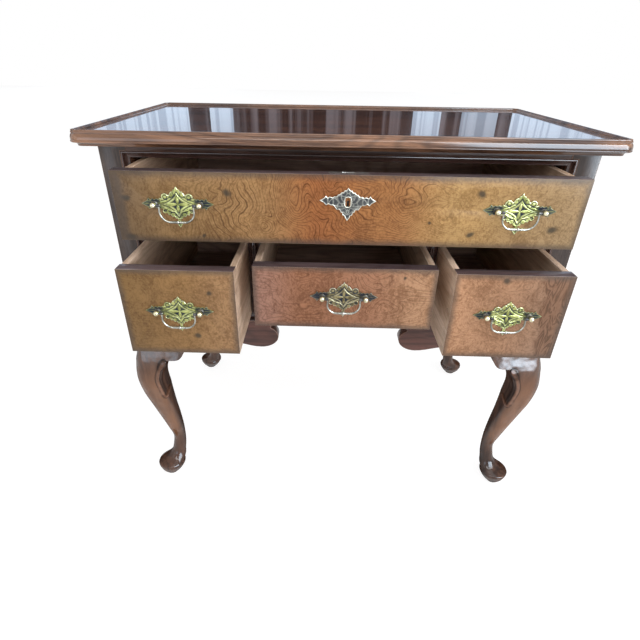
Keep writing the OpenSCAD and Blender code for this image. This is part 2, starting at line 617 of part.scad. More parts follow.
// A turned post: threaded shank, collar on the plate, neck and ball drilled for the bail
shank_len = front_t + 6;
collar_r = 4.6;
neck_r = 2.6;
module handle_post(inward) difference() {
    rotate([90, 0, 0]) {
        translate([0, 0, -shank_len]) cylinder(r = shank_r, h = shank_len + pivot_out);
        translate([0, 0, plate_t]) cylinder(r = collar_r, h = 1.4);
        translate([0, 0, plate_t + 1.4]) cylinder(r1 = collar_r - 0.6, r2 = neck_r, h = 2);
        translate([0, 0, plate_t]) cylinder(r = neck_r, h = pivot_out - plate_t);
        translate([0, 0, pivot_out]) sphere(r = ball_r);
    }
    translate([0, -pivot_out, 0]) rotate([0, inward * 90, 0])
        cylinder(r = pin_r + pin_clear, h = ball_r + eps);
}
module nut() translate([0, front_t, 0]) rotate([-90, 0, 0]) difference() {
    cylinder(r = 5.5, h = 3.5);
    translate([0, 0, -eps]) cylinder(r = shank_r + shank_clear, h = 3.5 + 2 * eps);
}
module posts(d, x) handled(d, x) color(brass) for (s = [-1, 1]) translate([s * post_gap / 2, 0, 0])
    handle_post(-s);
module nuts(d, x) handled(d, x) color(brass) for (s = [-1, 1]) translate([s * post_gap / 2, 0, 0]) nut();

// The bail: pins, arms, rounded corners and a bar with a bead between two rings
pin_end = post_gap / 2 - 0.4;
ball_gap = 0.3;
bail_half = post_gap / 2 - ball_r - ball_gap - bail_collar - wire_r;
module bail_arm() {
    translate([bail_half, 0, 0]) rotate([0, 90, 0]) {
        cylinder(r = pin_r, h = pin_end - bail_half);
        translate([0, 0, -wire_r - 0.5]) cylinder(r = wire_r + 0.7, h = 2 * wire_r + 0.5 + bail_collar);
    }
    translate([bail_half, 0, bail_corner - bail_drop]) cylinder(r = wire_r, h = bail_drop - bail_corner);
    translate([bail_half - bail_corner, 0, bail_corner - bail_drop]) rotate([90, 0, 0])
        rotate([0, 0, -90]) rotate_extrude(angle = 90) translate([bail_corner, 0]) circle(r = wire_r);
    translate([3, 0, -bail_drop]) rotate([0, 90, 0]) cylinder(r = wire_r + 0.8, h = 1.2);
}
module bail(d, x) handled(d, x) color(brass) translate([0, -pivot_out, 0]) {
    both() bail_arm();
    translate([bail_corner - bail_half, 0, -bail_drop]) rotate([0, 90, 0])
        cylinder(r = wire_r, h = 2 * (bail_half - bail_corner));
    translate([0, 0, -bail_drop]) rotate([0, 90, 0]) rotate_extrude() polygon([[0, -2.6], [wire_r - 0.3, -2.6],
        [wire_r + 0.7, -1.6], [wire_r + 1.1, -0.5], [wire_r + 1.1, 0.5], [wire_r + 0.7, 1.6],
        [wire_r - 0.3, 2.6], [0, 2.6]]);
}
module one_plate(d, x) handled(d, x) color(brass) plate();

// ---------------------------------------------------------------- lock
// The lock is let into the back of the top drawer's front, under its top edge
lock_y0 = front_t - lock_d;
bolt_d = 6;
key_z = 63.7;
lock_top = front_h(TOP);
bolt_len = 22;
module key_slot(t) {
    cylinder(r = 2, h = t);
    translate([-1.5, -8, 0]) cube([3, 8, t]);
}
module key_way(from, t) translate([0, from, key_z]) rotate([-90, 0, 0]) mirror([0, 1, 0]) key_slot(t);
module lock_box() box([-lock_w / 2, lock_y0, lock_top - lock_h], [lock_w / 2, front_t, lock_top]);
module top_front() drawn(TOP) color(burl) difference() {
    drawer_front(TOP, [-top_handle_x, top_handle_x]);
    lock_box();
    translate([0, 0, eps]) lock_box();
    translate([0, eps, 0]) lock_box();
    key_way(-eps, front_t + 2 * eps);
}
bolt_seat = [bolt_w / 2, lock_y0 + 3, lock_top - bolt_len - 1];
module lock_case() drawn(TOP) color(steel) difference() {
    lock_box();
    box([-bolt_w / 2 - 0.1, bolt_seat[1] - 0.1, lock_top - lock_h + lock_wall],
        [bolt_w / 2 + 0.1, bolt_seat[1] + bolt_d + 0.1, lock_top + eps]);
    key_way(lock_y0 - eps, lock_d - lock_wall);
}
module lock_bolt() drawn(TOP) color(steel)
    box([-bolt_seat[0], bolt_seat[1], bolt_seat[2]], [bolt_seat[0], bolt_seat[1] + bolt_d, lock_top - 0.5]);

function escutcheon_half() = [[0, 20], [3, 16.4], [5, 16.6], [7, 13.6], [9.4, 13.8], [11.8, 10.8], [14, 10.6],
    [16.4, 7.6], [20, 7.8], [22, 6.2], [25.4, 7.4], [29, 5.8], [31.4, 8.6], [33.6, 5.6], [40, 2],
    [33.6, -1.4], [31.2, -4.6], [27.6, -2.8], [24, -4.6], [20.4, -4.6], [17.8, -7.6], [15.6, -11],
    [11.4, -10.6], [9.8, -14.4], [7.2, -15.2], [6.8, -18.6], [4, -19.4], [3.2, -22.6], [0, -26.4]];
module escutcheon() drawn(TOP) color(pewter) translate([0, 0, key_z]) rotate([90, 0, 0])
    linear_extrude(plate_t) difference() {
        mirrored_outline(escutcheon_half());
        square([7.6, 9.4], center = true);
        for (s = [-1, 1]) translate([0, s * 4.7]) intersection() {
            circle(r = 3.8);
            square([7.6, 4], center = true);
        }
    }

// ---------------------------------------------------------------- named pieces
module top_sides() drawer_sides(TOP);
module top_back() drawer_back(TOP);
module top_bottom() drawer_bottom(TOP);
module top_plates() for (s = [-1, 1]) one_plate(TOP, s * top_handle_x);
module top_posts() for (s = [-1, 1]) posts(TOP, s * top_handle_x);
module top_nuts() for (s = [-1, 1]) nuts(TOP, s * top_handle_x);
module top_bail_left() bail(TOP, -top_handle_x);
module top_bail_right() bail(TOP, top_handle_x);
module lower_front(d) drawn(d) color(burl) drawer_front(d, [0]);

top_board();
tray_rim();
leg_front_left();
leg_front_right();
leg_back_left();
leg_back_right();
knee_blocks();
side_panel_left();
side_panel_right();
back_panel();
top_rail();
middle_rail();
front_apron();
lower_rails();
divider_left();
divider_right();
opening_mouldings();
partition_left();
partition_right();
runners();
guides();
drawer_stops();
top_cleats();
top_front();
top_sides();
top_back();
top_bottom();
top_plates();
top_posts();
top_nuts();
top_bail_left();
top_bail_right();
escutcheon();
lock_case();
lock_bolt();
lower_front(LEFT);  // left_front
drawer_sides(LEFT);  // left_sides
drawer_back(LEFT);  // left_back
drawer_bottom(LEFT);  // left_bottom
one_plate(LEFT, 0);  // left_plate
posts(LEFT, 0);  // left_posts
nuts(LEFT, 0);  // left_nuts
bail(LEFT, 0);  // left_bail
lower_front(CENTRE);  // centre_front
drawer_sides(CENTRE);  // centre_sides
drawer_back(CENTRE);  // centre_back
drawer_bottom(CENTRE);  // centre_bottom
one_plate(CENTRE, 0);  // centre_plate
posts(CENTRE, 0);  // centre_posts
nuts(CENTRE, 0);  // centre_nuts
bail(CENTRE, 0);  // centre_bail
lower_front(RIGHT);  // right_front
drawer_sides(RIGHT);  // right_sides
drawer_back(RIGHT);  // right_back
drawer_bottom(RIGHT);  // right_bottom
one_plate(RIGHT, 0);  // right_plate
posts(RIGHT, 0);  // right_posts
nuts(RIGHT, 0);  // right_nuts
bail(RIGHT, 0);  // right_bail
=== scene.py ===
import json
import math

import bmesh
import bpy
import numpy as np
from mathutils import Matrix, Vector, geometry


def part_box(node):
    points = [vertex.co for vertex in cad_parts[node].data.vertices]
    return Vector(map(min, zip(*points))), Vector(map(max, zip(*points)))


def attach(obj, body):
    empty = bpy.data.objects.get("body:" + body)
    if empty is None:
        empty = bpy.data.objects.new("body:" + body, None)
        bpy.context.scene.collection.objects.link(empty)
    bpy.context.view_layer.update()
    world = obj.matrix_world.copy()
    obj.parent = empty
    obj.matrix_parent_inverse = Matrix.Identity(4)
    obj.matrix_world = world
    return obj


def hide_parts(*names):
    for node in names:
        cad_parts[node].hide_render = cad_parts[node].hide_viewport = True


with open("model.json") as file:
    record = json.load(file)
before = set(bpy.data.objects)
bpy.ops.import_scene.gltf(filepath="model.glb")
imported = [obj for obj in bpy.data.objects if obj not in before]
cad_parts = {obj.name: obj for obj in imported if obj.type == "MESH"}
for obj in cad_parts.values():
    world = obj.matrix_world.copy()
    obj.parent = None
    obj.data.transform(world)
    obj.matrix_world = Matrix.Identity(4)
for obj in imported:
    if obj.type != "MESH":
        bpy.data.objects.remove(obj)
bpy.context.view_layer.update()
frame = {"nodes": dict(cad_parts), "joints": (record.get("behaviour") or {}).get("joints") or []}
mm = 0.001

# ---------------------------------------------------------------- room
# The room is no part of the lowboy: a plain pale floor, an even white light, and soft lamps overhead, in
# front and at both sides. The far wall is curtained, with windows that a polished top mirrors.
WHITE = (1.0, 1.0, 1.0, 1.0)
scene = bpy.context.scene
scene.view_settings.view_transform = "Standard"


def add(tree, kind, feeds=None, **settings):
    """Adds a shader node. feeds gives each input a plain value, or the output that runs into it."""
    made = tree.nodes.new(kind)
    for key, value in settings.items():
        setattr(made, key, value)
    for key, value in (feeds or {}).items():
        socket = made.inputs[key]
        if isinstance(value, bpy.types.NodeSocket):
            tree.links.new(value, socket)
        else:
            socket.default_value = (*value, 1)[:4] if socket.type == "RGBA" else value
    return made


def maths(tree, operation, *terms):
    return add(tree, "ShaderNodeMath", dict(enumerate(terms)), operation=operation).outputs[0]


def times(tree, product, *factors):
    for factor in factors:
        product = maths(tree, "MULTIPLY", product, factor)
    return product


def scaled(tree, value, scale, start):
    """value times scale, plus start."""
    return maths(tree, "MULTIPLY_ADD", value, scale, start)


def less(tree, value, by=0.5):
    return maths(tree, "SUBTRACT", value, by)


def ramped(tree, value, low, high, to_low=0.0, to_high=1.0):
    """A smooth step of value from low to high."""
    feeds = {"Value": value, "From Min": low, "From Max": high, "To Min": to_low, "To Max": to_high}
    return add(tree, "ShaderNodeMapRange", feeds, interpolation_type="SMOOTHSTEP").outputs["Result"]


def tinted(tree, share, first, second, mode="MIX"):
    """The colour that lies between first and second by share."""
    feeds = {0: share, 6: first, 7: second}
    return add(tree, "ShaderNodeMix", feeds, data_type="RGBA", blend_type=mode).outputs[2]


def parted(tree, vector):
    return add(tree, "ShaderNodeSeparateXYZ", {0: vector}).outputs


def on_piece(tree, kind="Object"):
    return add(tree, "ShaderNodeTexCoord").outputs[kind]


def seen_rays(tree):
    """1 for the rays that show the white room itself: seen, mirrored, or through glass."""
    path = add(tree, "ShaderNodeLightPath").outputs
    shown = maths(tree, "MAXIMUM", path["Is Camera Ray"], path["Is Glossy Ray"])
    return maths(tree, "MAXIMUM", shown, path["Is Transmission Ray"])


world = bpy.data.worlds.new("white_room")
scene.world = world
world.use_nodes = True
world.node_tree.nodes.clear()
air = world.node_tree
sky_level = 0.50
sky = add(air, "ShaderNodeBackground", {
    "Color": WHITE, "Strength": scaled(air, seen_rays(air), 1.0 - sky_level, sky_level)})
add(air, "ShaderNodeOutputWorld", {"Surface": sky.outputs[0]})


def set_out(name, data, place, way, axis, up):
    """Puts a sheet or a lamp of the room in its place, with its axis along way."""
    made = bpy.data.objects.new(name, data)
    scene.collection.objects.link(made)
    made.location = place
    made.rotation_mode = "QUATERNION"
    made.rotation_quaternion = Vector(way).to_track_quat(axis, up)
    return made


def sheet(name, width, depth, place, facing=(0, 0, 1)):
    """A flat sheet of the room, width by depth, facing the given way."""
    mesh = bpy.data.meshes.new(name)
    x, y = width / 2, depth / 2
    mesh.from_pydata([(-x, -y, 0), (x, -y, 0), (x, y, 0), (-x, y, 0)], [], [(0, 1, 2, 3)])
    made = set_out(name, mesh, place, facing, "Z", "Y")
    return made


def blank_material(name):
    made = bpy.data.materials.new(name)
    made.use_nodes = True
    made.node_tree.nodes.clear()
    return made, made.node_tree


floor = sheet("floor", 60, 60, (0, 0, 0))
paint, tree = blank_material("pale_floor")
lit = add(tree, "ShaderNodeBsdfDiffuse", {"Color": (0.82, 0.82, 0.82)})
soft = add(tree, "ShaderNodeBsdfDiffuse", {"Color": (0.22, 0.22, 0.22)})
glow = add(tree, "ShaderNodeEmission", {"Color": WHITE, "Strength": 0.9})
white = add(tree, "ShaderNodeAddShader", {0: soft.outputs[0], 1: glow.outputs[0]})
both = add(tree, "ShaderNodeMixShader", {0: seen_rays(tree), 1: lit.outputs[0], 2: white.outputs[0]})
add(tree, "ShaderNodeOutputMaterial", {"Surface": both.outputs[0]})
floor.data.materials.append(paint)


def upright_noise(tree, across, scale, detail):
    feeds = {"W": across, "Scale": scale, "Detail": detail}
    return add(tree, "ShaderNodeTexNoise", feeds, noise_dimensions="1D").outputs[0]


# The curtained wall: white to the eye, and dim curtains with pale windows to whatever mirrors it.
# Each window: the X of its middle, half its width, and how clear it is
WINDOWS = ((-6.1, 1.94, 1.0), (-3.16, 0.35, 0.95), (3.03, 0.42, 0.9), (4.6, 0.54, 0.6), (7.6, 2.04, 1.0))
wall = sheet("far_wall", 60, 9, (0, 14, 4.5), (0, -1, 0))
cloth, tree = blank_material("far_wall")
across = parted(tree, on_piece(tree))["X"]
folds = ramped(tree, upright_noise(tree, across, 2.2, 3.0), 0.44, 0.62)
blind = ramped(tree, upright_noise(tree, across, 3.1, 2.0), 0.44, 0.52)
room = tinted(tree, folds, (0.02, 0.012, 0.012), (0.20, 0.18, 0.2))
pane = tinted(tree, blind, (0.60, 0.74, 0.94), (0.90, 1.08, 1.32))
for middle, half, clear in WINDOWS:
    aside = maths(tree, "ABSOLUTE", less(tree, across, middle))
    room = tinted(tree, times(tree, maths(tree, "LESS_THAN", aside, half), clear), room, pane)
shown = tinted(tree, add(tree, "ShaderNodeLightPath").outputs["Is Camera Ray"], room, WHITE)
glow = add(tree, "ShaderNodeEmission", {"Color": shown, "Strength": 1.0})
add(tree, "ShaderNodeOutputMaterial", {"Surface": glow.outputs[0]})
wall.data.materials.append(cloth)

# Tall panes of daylight in front, with soft edges, seen in polish and brass alone; they light nothing
for name, width, height, x, strength in (
    ("pane_left", 1.7, 1.7, -1.75, 3.2), ("pane_right", 3.2, 4.4, 2.4, 15.0),
):
    pane = sheet(name, width, height, (x, -3.0, height / 2 + 0.05), (-x, 3.0, 0))
    daylight, tree = blank_material(name)
    spot = parted(tree, on_piece(tree, "Generated"))
    aside = maths(tree, "ABSOLUTE", less(tree, spot["X"]))
    soft = times(tree, ramped(tree, aside, 0.34, 0.5, 1.0, 0.0), ramped(tree, spot["Y"], 0.0, 0.25))
    soft = times(tree, soft, add(tree, "ShaderNodeLightPath").outputs["Is Glossy Ray"])
    clear = add(tree, "ShaderNodeBsdfTransparent").outputs[0]
    bright = add(tree, "ShaderNodeEmission", {"Color": (0.74, 0.87, 1.0), "Strength": strength}).outputs[0]
    both = add(tree, "ShaderNodeMixShader", {0: soft, 1: clear, 2: bright})
    add(tree, "ShaderNodeOutputMaterial", {"Surface": both.outputs[0]})
    pane.data.materials.append(daylight)

middle = Vector((0, 0, 0.5))
for name, place, width, height, watts, mirrored in (
    ("overhead", (0.2, -0.6, 2.7), 1.6, 1.2, 9, True), ("high_window", (0.5, -1.7, 2.3), 3.0, 0.4, 24, True),
    ("front_window", (1.0, -2.9, 1.25), 2.2, 1.0, 25, False),
    ("window_left", (-2.2, -1.5, 1.3), 0.7, 1.4, 3, True),
    ("window_right", (2.2, -1.4, 1.3), 0.7, 1.4, 17, True),
):
    data = bpy.data.lights.new(name, "AREA")
    data.shape, data.size, data.size_y, data.energy = "RECTANGLE", width, height, watts
    lamp = set_out(name, data, place, middle - Vector(place), "-Z", "Y")
    lamp.visible_camera, lamp.visible_glossy = False, mirrored

# The eye: a wide view from a little above the top, looking down
eye = Vector((-35.9, -874.28, 832.9)) * mm
yaw, pitch, roll = math.radians(-1.0), math.radians(30.2), math.radians(0.9)
ahead = Vector((math.sin(yaw) * math.cos(pitch), math.cos(yaw) * math.cos(pitch), -math.sin(pitch)))
aside = Vector((math.cos(yaw), -math.sin(yaw), 0))
upward = aside.cross(ahead)
across_view = aside * math.cos(roll) + upward * math.sin(roll)
up_view = upward * math.cos(roll) - aside * math.sin(roll)
view = bpy.data.cameras.new("eye")
view.lens = 25.37
view.sensor_width = 36.0
view.shift_x = 0.0111
view.shift_y = 0.0006
camera = bpy.data.objects.new("eye", view)
scene.collection.objects.link(camera)
camera.matrix_world = Matrix((across_view, up_view, -ahead)).transposed().to_4x4()
camera.location = eye
scene.camera = camera

# ---------------------------------------------------------------- carcass
# The case boards are solid walnut, sawn and planed, with the grain along each board and the arrises
# eased by hand. Rails and dividers are tenoned into the posts; the apron is sawn to its curves.


def effect(name, takes, gives):
    """An empty group of shader nodes. takes says what each input starts at, None for a vector; gives names the
    outputs, all of them values but Colour."""
    group = bpy.data.node_groups.new(name, "ShaderNodeTree")
    for label, start in takes.items():
        kind = "Vector" if start is None else "Color" if start is WHITE else "Float"
        socket = group.interface.new_socket(label, in_out="INPUT", socket_type="NodeSocket" + kind)
        if start is not None:
            socket.default_value = start
    for label in gives:
        kind = "Color" if label == "Colour" else "Float"
        group.interface.new_socket(label, in_out="OUTPUT", socket_type="NodeSocket" + kind)
    return group, add(group, "NodeGroupInput").outputs, add(group, "NodeGroupOutput").inputs


def use(tree, group, **feeds):
    """Puts a group of shader nodes to work in a tree, and gives its outputs."""
    return add(tree, "ShaderNodeGroup", feeds, node_tree=group).outputs


def folded(tree, value):
    """0 at whole numbers, rising to 0.5 halfway between them."""
    return maths(tree, "PINGPONG", value, 0.5)


def vectors(tree, operation, *terms, out="Vector"):
    return add(tree, "ShaderNodeVectorMath", dict(enumerate(terms)), operation=operation).outputs[out]


def stretched(tree, place, x, y, z):
    return vectors(tree, "MULTIPLY", place, (x, y, z))


def noise(tree, place, scale, detail=2.0, rough=0.5, bend=0.0):
    """Noise at place, finer the larger the scale along X, Y and Z."""
    return add(tree, "ShaderNodeTexNoise", {
        "Vector": stretched(tree, place, *scale), "Scale": 1.0, "Detail": detail, "Roughness": rough,
        "Distortion": bend}).outputs[0]


def into(tree, sockets, **outputs):
    for label, output in outputs.items():
        tree.links.new(output, sockets[label])


def skin(tree, relief, distance, strength, feeds, bumped=("Normal",)):
    """Ends a material in a Principled shader; relief bumps the normals named in bumped."""
    bump = add(tree, "ShaderNodeBump", {"Height": relief, "Distance": distance, "Strength": strength})
    normals = {label: bump.outputs[0] for label in bumped}
    shader = add(tree, "ShaderNodeBsdfPrincipled", {**feeds, **normals})
    add(tree, "ShaderNodeOutputMaterial", {"Surface": shader.outputs[0]})


# Straight grain: Position is in metres with the grain along X
timber_grain, given, out = effect("timber_grain",
    dict(Position=None, Pale=WHITE, Deep=WHITE, Vein=WHITE, Streak=0.5, Rings=0.3, Pores=0.3),
    ("Colour", "Shine", "Relief"))
tree, place = timber_grain, given["Position"]
drift = noise(tree, place, (2.5, 17, 17), 3, 0.55, 0.6)
streak = less(tree, noise(tree, place, (6, 105, 105), 4, 0.6, 0.3))
fibre = noise(tree, place, (45, 1100, 1100), 2, 0.6)
field = noise(tree, place, (1.5, 7.5, 7.5), 1.5, 0.4, 0.4)
ring = ramped(tree, folded(tree, times(tree, field, 26.0)), 0.0, 0.3, 1.0, 0.0)
tone = scaled(tree, less(tree, fibre), 0.35, scaled(tree, streak, given["Streak"], drift))
body = tinted(tree, ramped(tree, tone, 0.25, 0.75), given["Deep"], given["Pale"])
lined = tinted(tree, times(tree, ring, given["Rings"]), body, given["Vein"])
pore = ramped(tree, noise(tree, place, (70, 1500, 1500), 0), 0.62, 0.74)
pored = tinted(tree, times(tree, pore, given["Pores"]), lined, given["Vein"])
into(tree, out, Colour=pored, Shine=streak, Relief=less(tree, times(tree, fibre, 0.5), pore))

# Rubbed arrises: the attribute "arris" marks the eased edges of a piece, and handling wears them unevenly
worn_arris, given, out = effect("worn_arris",
    dict(Position=None, Colour=WHITE, Worn=WHITE, Wear=0.5), ("Colour",))
tree = worn_arris
edge = add(tree, "ShaderNodeAttribute", attribute_name="arris").outputs["Fac"]
patch = ramped(tree, noise(tree, given["Position"], (22, 22, 22), 4, 0.6), 0.35, 0.6)
into(tree, out, Colour=tinted(tree, times(tree, edge, patch, given["Wear"]), given["Colour"], given["Worn"]))

walnut_vein, walnut_worn = (0.022, 0.011, 0.008), (0.32, 0.18, 0.12)


def grained_place(tree, grain, shift):
    """The point on the piece in metres, turned so that X runs along the grain, and shifted."""
    parts = parted(tree, on_piece(tree))
    axes = "XYZXYZ"["XYZ".index(grain):][:3]
    turned = [maths(tree, "ADD", parts[axis], shift) for axis in axes]
    return add(tree, "ShaderNodeCombineXYZ", dict(enumerate(turned))).outputs[0]


def timber(name, grain, pale, deep, vein=walnut_vein, worn=walnut_worn, streak=0.9, rings=0.3, wear=0.6,
           rough=0.36, polish=0.35, polish_rough=0.14, shift=0.0):
    """A polished or plain board of solid wood; colours are linear, and polish is the coat of wax or shellac."""
    made, tree = blank_material(name)
    place = grained_place(tree, grain, shift)
    wood = use(tree, timber_grain, Position=place, Pale=pale, Deep=deep, Vein=vein, Streak=streak, Rings=rings,
               Pores=0.35)
    rubbed = use(tree, worn_arris, Position=place, Colour=wood["Colour"], Worn=worn, Wear=wear)["Colour"]
    skin(tree, wood["Relief"], 0.00012, 0.6, {
        "Base Color": rubbed, "Roughness": scaled(tree, wood["Shine"], -0.16, rough),
        "Specular IOR Level": 0.2, "Coat Weight": polish, "Coat Roughness": polish_rough})
    return made


def finished(name, mesh, materials, body, slot, *nodes, angle=35):
    """Puts a mesh on the lowboy as the piece that stands for the named solids, and lets it ride on body."""
    made = bpy.data.objects.new(name, mesh)
    scene.collection.objects.link(made)
    for material in materials:
        mesh.materials.append(material)
    mesh.shade_smooth()
    mesh.set_sharp_from_angle(angle=math.radians(angle))
    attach(made, body)
    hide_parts(*nodes)


def eased(node, arris, above=None):
    """The shape of a solid with its arrises eased; the attribute "arris" marks the eased strips."""
    shape = bmesh.new()
    shape.from_mesh(frame["nodes"][node].data)
    bmesh.ops.remove_doubles(shape, verts=shape.verts, dist=1e-6)
    if above is not None:
        bmesh.ops.bisect_plane(shape, geom=shape.verts[:] + shape.edges[:] + shape.faces[:], dist=1e-7,
                               plane_co=(0, 0, above), plane_no=(0, 0, 1), clear_inner=True)
    bmesh.ops.dissolve_limit(shape, angle_limit=math.radians(0.5), verts=shape.verts, edges=shape.edges)
    mark = shape.faces.layers.float.new("arris")
    corners = [e for e in shape.edges if len(e.link_faces) == 2 and e.calc_face_angle(0) > math.radians(35)]
    strips = bmesh.ops.bevel(shape, geom=corners, offset=arris, offset_type="OFFSET", segments=2,
                             profile=0.5, affect="EDGES", clamp_overlap=True)
    for face in strips["faces"]:
        face[mark] = 1.0
    return shape


def to_mesh(name, shape, outward=False):
    """Ends a shape as a mesh; outward first turns the front of every face outward."""
    if outward:
        bmesh.ops.recalc_face_normals(shape, faces=shape.faces)
    mesh = bpy.data.meshes.new(name)
    shape.to_mesh(mesh)
    shape.free()
    return mesh


def dressed(node, kind, arris, material, body, slot):
    """A solid with its arrises eased, in its own wood or metal."""
    finished(node + "_" + kind, to_mesh(node, eased(node, arris * mm)), [material], body, slot, node)


stile_walnut = timber("stile_walnut", "Z", (0.088, 0.064, 0.054), (0.038, 0.029, 0.027))
rail_walnut = timber("rail_walnut", "X", (0.085, 0.046, 0.036), (0.034, 0.018, 0.015))
side_walnut = timber("side_walnut", "Z", (0.20, 0.10, 0.062), (0.075, 0.034, 0.023), rings=0.45, shift=0.7)
apron_walnut = timber("apron_walnut", "X", (0.125, 0.050, 0.038), (0.050, 0.021, 0.017), shift=1.3)
for node, material, arris in (
    ("side_panel_left", side_walnut, 0.6), ("side_panel_right", side_walnut, 0.6),
    ("top_rail", rail_walnut, 0.6), ("middle_rail", rail_walnut, 0.6), ("front_apron", apron_walnut, 1.0),
    ("divider_left", stile_walnut, 0.5), ("divider_right", stile_walnut, 0.5),
):
    dressed(node, "board", arris, material, "case", "walnut")

# ---------------------------------------------------------------- oak
# The hidden case work is quartered oak left unpolished: back, blades, partitions, runners, guides, stops
# and cleats. It is planed and a little dusty.
oak = dict(pale=(0.56, 0.40, 0.28), deep=(0.34, 0.22, 0.15), vein=(0.16, 0.09, 0.055), worn=(0.6, 0.44, 0.3),
           streak=0.8, rings=0.35, polish=0.0)
case_oak = timber("case_oak", "X", rough=0.62, **oak)
runner_oak = timber("runner_oak", "Y", rough=0.6, shift=0.4, **oak)
for node, material in (
    ("back_panel", case_oak), ("lower_rails", case_oak), ("partition_left", runner_oak),
    ("partition_right", runner_oak), ("runners", runner_oak), ("guides", runner_oak),
    ("drawer_stops", case_oak), ("top_cleats", runner_oak),
):
    dressed(node, "oak", 0.7, material, "case", "oak")

# ---------------------------------------------------------------- drawers
# Each front is a walnut board faced with burr veneer; its sides are oak, dovetailed into the front, with
# a back let down behind them and a bottom slid into grooves. Edges are stained dark, with a grey-purple
# tone and pale arrises that are painted sheen, the arrises partly real rubbing.

# Burr figure: Position is the face in metres, across and up. Fine contour lines lie where Field passes
# whole and half numbers, and they come and go over the face.
burr_figure, given, out = effect("burr_figure",
    dict(Position=None, Field=0.0, Tone=WHITE, Deep=WHITE, Line=WHITE, Swirl=0.5, Mottle=0.5),
    ("Colour", "Shine", "Relief"))
tree, place = burr_figure, given["Position"]
cloud = noise(tree, place, (19, 15, 1), 4, 0.6, 0.9)
curl = noise(tree, place, (75, 58, 1), 3, 0.6, 1.6)
speck = noise(tree, place, (330, 250, 1), 3, 0.7, 0.4)
tone = scaled(tree, less(tree, curl), given["Mottle"], scaled(tree, cloud, 0.55, 0.225))
tone = scaled(tree, less(tree, speck), 0.8, tone)
figured = tinted(tree, ramped(tree, tone, 0.26, 0.66), given["Deep"], given["Tone"])
bold = ramped(tree, folded(tree, given["Field"]), 0.02, 0.16, 1.0, 0.0)
faint = ramped(tree, folded(tree, times(tree, given["Field"], 2.7)), 0.02, 0.3, 0.42, 0.0)
fade = ramped(tree, noise(tree, place, (30, 24, 1)), 0.34, 0.54, 0.5, 1.0)
line = times(tree, maths(tree, "MAXIMUM", bold, faint), fade, given["Swirl"])
into(tree, out, Colour=tinted(tree, line, figured, given["Line"]), Shine=less(tree, cloud), Relief=speck)

# Dark handling and old polish gather round the border of a face: 1 at its edges, 0 inside
border_shade, given, out = effect("border_shade",
    dict(Position=None, Low=None, High=None, Width=0.01), ("Mask",))
tree, place, width = border_shade, given["Position"], given["Width"]
from_low = vectors(tree, "SUBTRACT", place, given["Low"])
to_high = vectors(tree, "SUBTRACT", given["High"], place)
near = parted(tree, vectors(tree, "MINIMUM", from_low, to_high))
ragged = times(tree, noise(tree, place, (30, 30, 1), 3), width)
close = less(tree, maths(tree, "MINIMUM", near["X"], near["Y"]), ragged)
into(tree, out, Mask=ramped(tree, close, times(tree, width, -0.5), width, 1.0, 0.0))


def swept(tree, value, stops):
    """A colour that passes from each stop to the next; stops are (value, colour)."""
    colour = stops[0][1]
    for (start, _), (stop, shade) in zip(stops, stops[1:]):
        colour = tinted(tree, ramped(tree, value, start, stop), colour, shade)
    return colour


def deepened(tree, colour, by):
    return tinted(tree, 1.0, colour, by, "MULTIPLY")


def oval(tree, place, x, z, wide, high):
    """How far out a point lies in an oval: 0 at its middle, 1 on its edge."""
    off = stretched(tree, vectors(tree, "SUBTRACT", place, (x, z, 0)), 1 / wide, 1 / high, 0)
    return vectors(tree, "LENGTH", off, out="Value")


